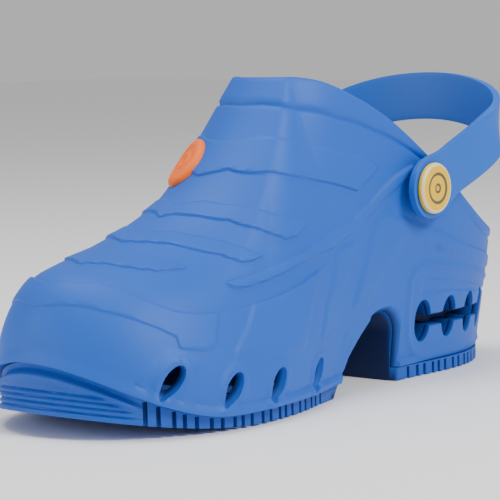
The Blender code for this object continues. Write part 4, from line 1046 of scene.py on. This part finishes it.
upright_slots = slot_tree()
channels = slots("channels", upright_slots, channel_places(), CHANNEL_WIDTH)
grooves = slots("grooves", upright_slots, groove_places(), GROOVE_WIDTH)
vents = joined("vents", vent_cutters(1) + vent_cutters(-1))
windows = [window_cutter(side, WINDOW_PLAIN) for side in (1, -1)]
sole_cutters = [channels, tunnel_cutter(), *windows, vents, grooves]
carve(sole, sole_cutters)
for used in sole_cutters:
    bpy.data.objects.remove(used, do_unlink=True)
smooth(sole)
# Painted shade goes into the sole's vents, windows and arch
paint_hollow_shade(sole, 0.0030, 0.0050)
dress(sole, TREAD, "sole_blue", "sole")


# Insole: a thin liner on the footbed.
# A loose sheet of soft foam that lies parallel to the footbed, stops short of the shell, and has a softly
# rounded edge.
# The liner's colour is its own blue darkened with painted shade, so that where it shows through the vents it
# reads as the shade inside the shoe
LINER_WITH_PAINTED_SHADE = moulded("liner", (0.008, 0.034, 0.150), 0.85, grain=700.0, depth=0.0002)
INSOLE_THICKNESS = 0.0030
INSOLE_MARGIN = 0.0009
INSOLE_SECTION = (
    # share of the way to the edge, share of the thickness
    (0.0, 1.0), (0.3, 1.0), (0.6, 1.0), (0.85, 1.0), (0.975, 0.97), (0.993, 0.75), (1.0, 0.4),
    (1.0, 0.1), (0.98, 0.0), (0.6, 0.0), (0.0, 0.0),
)
bed_rings = rings[bed_rim:]
bed_spine = bed_rings[-1]
insole_rings = []
for share, lift in INSOLE_SECTION:
    edge = bed_rings[0]
    reach = np.linalg.norm(edge - bed_spine, axis=1, keepdims=True)
    ring = bed_spine + (edge - bed_spine) * (share * (1 - INSOLE_MARGIN / reach))
    ring[:, 2] = bed_height(ring[:, 1] / LENGTH) + BED_CUP * share ** 3 + FIT_GAP + INSOLE_THICKNESS * lift
    insole_rings.append(to_world(ring))
insole = loft("insole_liner", insole_rings, capped=False)
smooth(insole, 60)
dress(insole, LINER_WITH_PAINTED_SHADE, "liner_blue", "insole")


# Heel strap: one moulded band with rounded ends, sweeping behind the heel.
# Its two ends turn on the buttons. Its middle line follows the solids' path, and a bevel rounds its edges.
BAND = moulded("moulded strap", (0.013, 0.125, 0.560), 0.46)
STRAP_THICKNESS = 0.0032
STRAP_WIDTH = 0.0225
STRAP_END_WIDTH = 0.0275
STRAP_HALF_SPREAD = 0.0505
STRAP_LEG = 0.0430
STRAP_REACH = 0.0650
STRAP_RISE = 0.0390
STRAP_CURL = 0.38
STRAP_TAPER = 1.5
STRAP_TANGENT_STEP = 0.003
STRAP_EDGE_ROUND = 0.0009
STRAP_LANES = 11
STRAP_ROWS = 150
strap_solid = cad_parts["heel_strap"]
pivot_world_y = HEEL_CENTRE - PIVOT_BACK
near_pivot = [v.co.x for v in strap_solid.data.vertices
              if abs(v.co.y - pivot_world_y) < 0.010 and abs(v.co.z - PIVOT_HEIGHT) < 0.010]
strap_starts = {1: max(near_pivot) - STRAP_THICKNESS / 2, -1: min(near_pivot) + STRAP_THICKNESS / 2}


def strap_path():
    points = []
    for side in (1, -1):
        half = []
        for reach in np.linspace(0, STRAP_LEG, 41)[:-1]:
            held = np.clip((reach - STRAP_END_WIDTH / 2) / (STRAP_LEG - STRAP_END_WIDTH / 2), 0, 1)
            held = held * held * (3 - 2 * held)
            start = strap_starts[side]
            half.append((start + (side * STRAP_HALF_SPREAD - start) * held, reach))
        for angle in np.linspace(0, math.pi / 2, 60):
            sweep = STRAP_REACH - STRAP_LEG
            half.append((side * STRAP_HALF_SPREAD * math.cos(angle), STRAP_LEG + sweep * math.sin(angle)))
        points += half if side > 0 else half[::-1][1:]
    share = np.array([reach for _, reach in points]) / STRAP_REACH
    rise = STRAP_RISE * share * (1 - STRAP_CURL + STRAP_CURL * share)
    lifted = zip(points, rise)
    return np.array([(across, PIVOT_BACK - reach, PIVOT_HEIGHT + up) for (across, reach), up in lifted])


def on_path(travel):
    return np.array([np.interp(travel, strap_travel, path[:, axis]) for axis in range(3)])


path = strap_path()
strap_travel = np.concatenate([[0], np.cumsum(np.linalg.norm(np.diff(path, axis=0), axis=1))])
total, radius = strap_travel[-1], STRAP_END_WIDTH / 2
end_angles = np.linspace(0, math.pi / 2, 12)
ends = radius * (1 - np.cos(end_angles)) - radius
places = np.concatenate([ends, np.linspace(0, total, STRAP_ROWS)[1:-1], total - ends[::-1]])
strap_rows = []
for place in places:
    near = np.clip(place, STRAP_TANGENT_STEP, total - STRAP_TANGENT_STEP)
    tangent = on_path(near + STRAP_TANGENT_STEP) - on_path(near - STRAP_TANGENT_STEP)
    tangent /= np.linalg.norm(tangent)
    held = np.clip(place, 0, total)
    centre = on_path(held) + tangent * (place - held)
    outward = np.array([-tangent[1], tangent[0], 0.0])
    outward /= np.linalg.norm(outward)
    width_way = np.cross(outward, tangent)
    width_way *= np.sign(width_way[2])
    clear = min(place, total - place)
    taper = np.clip(clear / (radius * STRAP_TAPER), 0, 1)
    half_width = STRAP_WIDTH / 2 + (radius - STRAP_WIDTH / 2) * (1 - taper * taper * (3 - 2 * taper))
    if clear < 0:
        half_width = max(math.sqrt(max(radius ** 2 - clear ** 2, 0)), 0.0006)
    strap_rows.append([centre + width_way * half_width * share for share in np.linspace(-1, 1, STRAP_LANES)])
strap_grid = to_world(np.array(strap_rows))
strap_faces = []
for row in range(len(strap_rows) - 1):
    for lane in range(STRAP_LANES - 1):
        here, beyond = row * STRAP_LANES + lane, (row + 1) * STRAP_LANES + lane
        strap_faces.append((here, beyond, beyond + 1, here + 1))
strap = object_from("strap_band", strap_grid.reshape(-1, 3), strap_faces)
thickness = strap.modifiers.new("Thickness", "SOLIDIFY")
thickness.thickness = STRAP_THICKNESS
thickness.offset = 0.0
thickness.use_even_offset = True
rounding = strap.modifiers.new("Rounding", "BEVEL")
rounding.width = STRAP_EDGE_ROUND
rounding.segments = 3
rounding.limit_method = "ANGLE"
rounding.angle_limit = math.radians(50)
carve(strap, [])
smooth(strap, 50)
dress(strap, BAND, "strap_blue", "heel_strap")


# Buttons: round plastic rivets with a cream rim and plain rings on the face.
# Each is pressed through the strap and the shell. Its place is read off the solid's box, and one profile
# is spun round the strap's pivot.
YELLOW = moulded("button yellow", (0.880, 0.520, 0.006), 0.46, mottle=0.02)
CREAM = moulded("button rim", (0.800, 0.700, 0.420), 0.42, coat=0.2, mottle=0.02)
INK = moulded("button ring", (0.110, 0.100, 0.060), 0.50, mottle=0.02)
BUTTON_SIDES = 72
BUTTON_WIDTH = 0.0232
BUTTON_THICKNESS = 0.0028
BUTTON_FACE = (
    # radius share, height share, finish: 0 yellow, 1 cream, 2 ink
    (0.00, 0.96, 0), (0.10, 0.96, 0),
    (0.12, 1.02, 2), (0.20, 1.02, 2),
    (0.22, 0.96, 0), (0.50, 0.95, 0),
    (0.52, 1.02, 2), (0.62, 1.02, 2),
    (0.64, 0.94, 0), (0.86, 0.90, 0),
    (0.88, 0.82, 1), (0.91, 0.90, 1), (0.95, 0.80, 1), (0.98, 0.60, 1),
    (1.00, 0.34, 0), (0.99, 0.06, 0), (0.97, 0.00, 0),
)
BUTTON_NECK = (
    # radius, depth below the face
    (0.0035, 0.0), (0.0035, 0.0040), (0.0065, 0.0044), (0.0065, 0.0066), (0.0035, 0.0070),
)
BUTTON_FOOT = (
    # radius, height above the inner end
    (0.0035, 0.0018), (0.0060, 0.0016), (0.0060, 0.0003), (0.0050, 0.0), (0.0, 0.0),
)
for side, name in ((1, "strap_button_lateral"), (-1, "strap_button_medial")):
    low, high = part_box(name)
    face = (high.x if side > 0 else -low.x) - BUTTON_THICKNESS
    inner = low.x if side > 0 else -high.x
    profile = [(share * BUTTON_WIDTH / 2, face + BUTTON_THICKNESS * rise, finish)
               for share, rise, finish in BUTTON_FACE]
    profile += [(reach, face - depth, 0) for reach, depth in BUTTON_NECK]
    profile += [(reach, inner + rise, 0) for reach, rise in BUTTON_FOOT]
    places = []
    for reach, depth, _ in profile:
        for angle in np.arange(BUTTON_SIDES) / BUTTON_SIDES * 2 * math.pi:
            places.append((side * depth, pivot_world_y + reach * math.cos(angle),
                           PIVOT_HEIGHT + reach * math.sin(angle)))
    chosen = [finish for _, _, finish in profile[1:] for _ in range(BUTTON_SIDES)]
    button = object_from("button_" + name.split("_")[-1], places, ring_faces(len(profile), BUTTON_SIDES),
                         (YELLOW, CREAM, INK), chosen)
    smooth(button, 30)
    dress(button, None, "button_yellow", name)


# Badge: a domed oval of orange plastic on the inner slope of the vamp, with plain raised rings.
# It is set on the drawn shell along the same direction as the solid.
ORANGE = moulded("badge orange", (0.950, 0.165, 0.012), 0.50, mottle=0.03)
BADGE_LENGTH = 0.0260
BADGE_WIDTH = 0.0190
BADGE_THICKNESS = 0.0024
BADGE_ALONG = 0.630
BADGE_ACROSS = -0.0120
BADGE_SLOPE_STEP = 0.010
BADGE_SIDES = 64
BADGE_LIFT = 0.0008
BADGE_DOME = (
    # radius share, height share
    (0.00, 0.80), (0.20, 0.80),
    (0.24, 1.00), (0.34, 1.00),
    (0.38, 0.80), (0.62, 0.78),
    (0.66, 1.00), (0.80, 0.98), (0.86, 0.90), (0.93, 0.72), (0.98, 0.45), (1.00, 0.15),
    (1.00, -0.30), (0.97, -0.40), (0.00, -0.40),
)
badge_across = float(ridge_shift(BADGE_ALONG)) + BADGE_ACROSS


def on_roof(aside, ahead):
    along = BADGE_ALONG + ahead / LENGTH
    height = float(roof_height(badge_across + aside, along))
    return Vector(to_world(np.array([badge_across + aside, along * LENGTH, height])))


centre = on_roof(0.0, 0.0)
length_way = (on_roof(0.0, BADGE_SLOPE_STEP) - centre).normalized()
out = (on_roof(BADGE_SLOPE_STEP, 0.0) - centre).cross(length_way).normalized()
out = -out if out.z < 0 else out
width_way = length_way.cross(out)
places = []
for share, dome in BADGE_DOME:
    for angle in np.arange(BADGE_SIDES) / BADGE_SIDES * 2 * math.pi:
        start = centre + length_way * (BADGE_LENGTH / 2 * share * math.cos(angle))
        start += width_way * (BADGE_WIDTH / 2 * share * math.sin(angle)) + out * BADGE_LENGTH
        hit = skin_tree.ray_cast(start, -out)[0]
        places.append(hit + out * (BADGE_LIFT + BADGE_THICKNESS * dome))
badge = object_from("badge_oval", places, ring_faces(len(BADGE_DOME), BADGE_SIDES))
smooth(badge, 30)
dress(badge, ORANGE, "badge_orange", "vamp_badge")


# Stage: a plain pale floor, soft studio light and the photo's camera.
# The camera's place was fitted to the photo: its turn, height and roll about a target in the shoe.
CAMERA_TURN = math.radians(39.415)
CAMERA_HEIGHT = math.radians(6.239)
CAMERA_ROLL = math.radians(-0.958)
CAMERA_DISTANCE = 1.0
CAMERA_LENS = 161.6
CAMERA_TARGET = Vector((0.0, -0.099, 0.055))
CAMERA_SHIFT = (-0.0373, 0.0320)

bpy.ops.mesh.primitive_plane_add(size=8.0, location=(0, 0, -0.0004))
floor = bpy.context.object
floor.name = "floor"
paper = bpy.data.materials.new("floor paper")
paper.use_nodes = True
paper.node_tree.nodes["Principled BSDF"].inputs["Base Color"].default_value = (0.93, 0.93, 0.94, 1)
paper.node_tree.nodes["Principled BSDF"].inputs["Roughness"].default_value = 0.9
floor.data.materials.append(paper)

world = bpy.data.worlds.new("studio")
world.use_nodes = True
world.node_tree.nodes["Background"].inputs["Color"].default_value = (1.0, 1.0, 1.0, 1)
world.node_tree.nodes["Background"].inputs["Strength"].default_value = 0.54
bpy.context.scene.world = world
LIGHTS = {
    # name: place, size, power
    "key": ((1.05, -0.10, 1.00), 0.45, 15.0),
    "top": ((-0.20, -0.30, 1.40), 0.70, 11.0),
    "toe": ((-0.70, -1.20, 0.35), 0.50, 4.0),
}
for name, (place, size, power) in LIGHTS.items():
    light = bpy.data.lights.new(name, "AREA")
    light.energy = power
    light.size = size
    lamp = bpy.data.objects.new(name, light)
    lamp.location = place
    aim = CAMERA_TARGET - Vector(place)
    lamp.rotation_euler = aim.to_track_quat("-Z", "Y").to_euler()
    bpy.context.scene.collection.objects.link(lamp)

level = math.cos(CAMERA_HEIGHT)
back = Vector((math.sin(CAMERA_TURN) * level, -math.cos(CAMERA_TURN) * level, math.sin(CAMERA_HEIGHT)))
right = Vector((math.cos(CAMERA_TURN), math.sin(CAMERA_TURN), 0))
up = back.cross(right)
rolled_right = right * math.cos(CAMERA_ROLL) + up * math.sin(CAMERA_ROLL)
rolled_up = up * math.cos(CAMERA_ROLL) - right * math.sin(CAMERA_ROLL)
camera_data = bpy.data.cameras.new("camera")
camera_data.lens = CAMERA_LENS
camera_data.sensor_width = 36.0
camera_data.shift_x, camera_data.shift_y = CAMERA_SHIFT
camera = bpy.data.objects.new("camera", camera_data)
turned = Matrix((rolled_right, rolled_up, back)).transposed().to_4x4()
camera.matrix_world = Matrix.Translation(CAMERA_TARGET + back * CAMERA_DISTANCE) @ turned
bpy.context.scene.collection.objects.link(camera)
bpy.context.scene.camera = camera
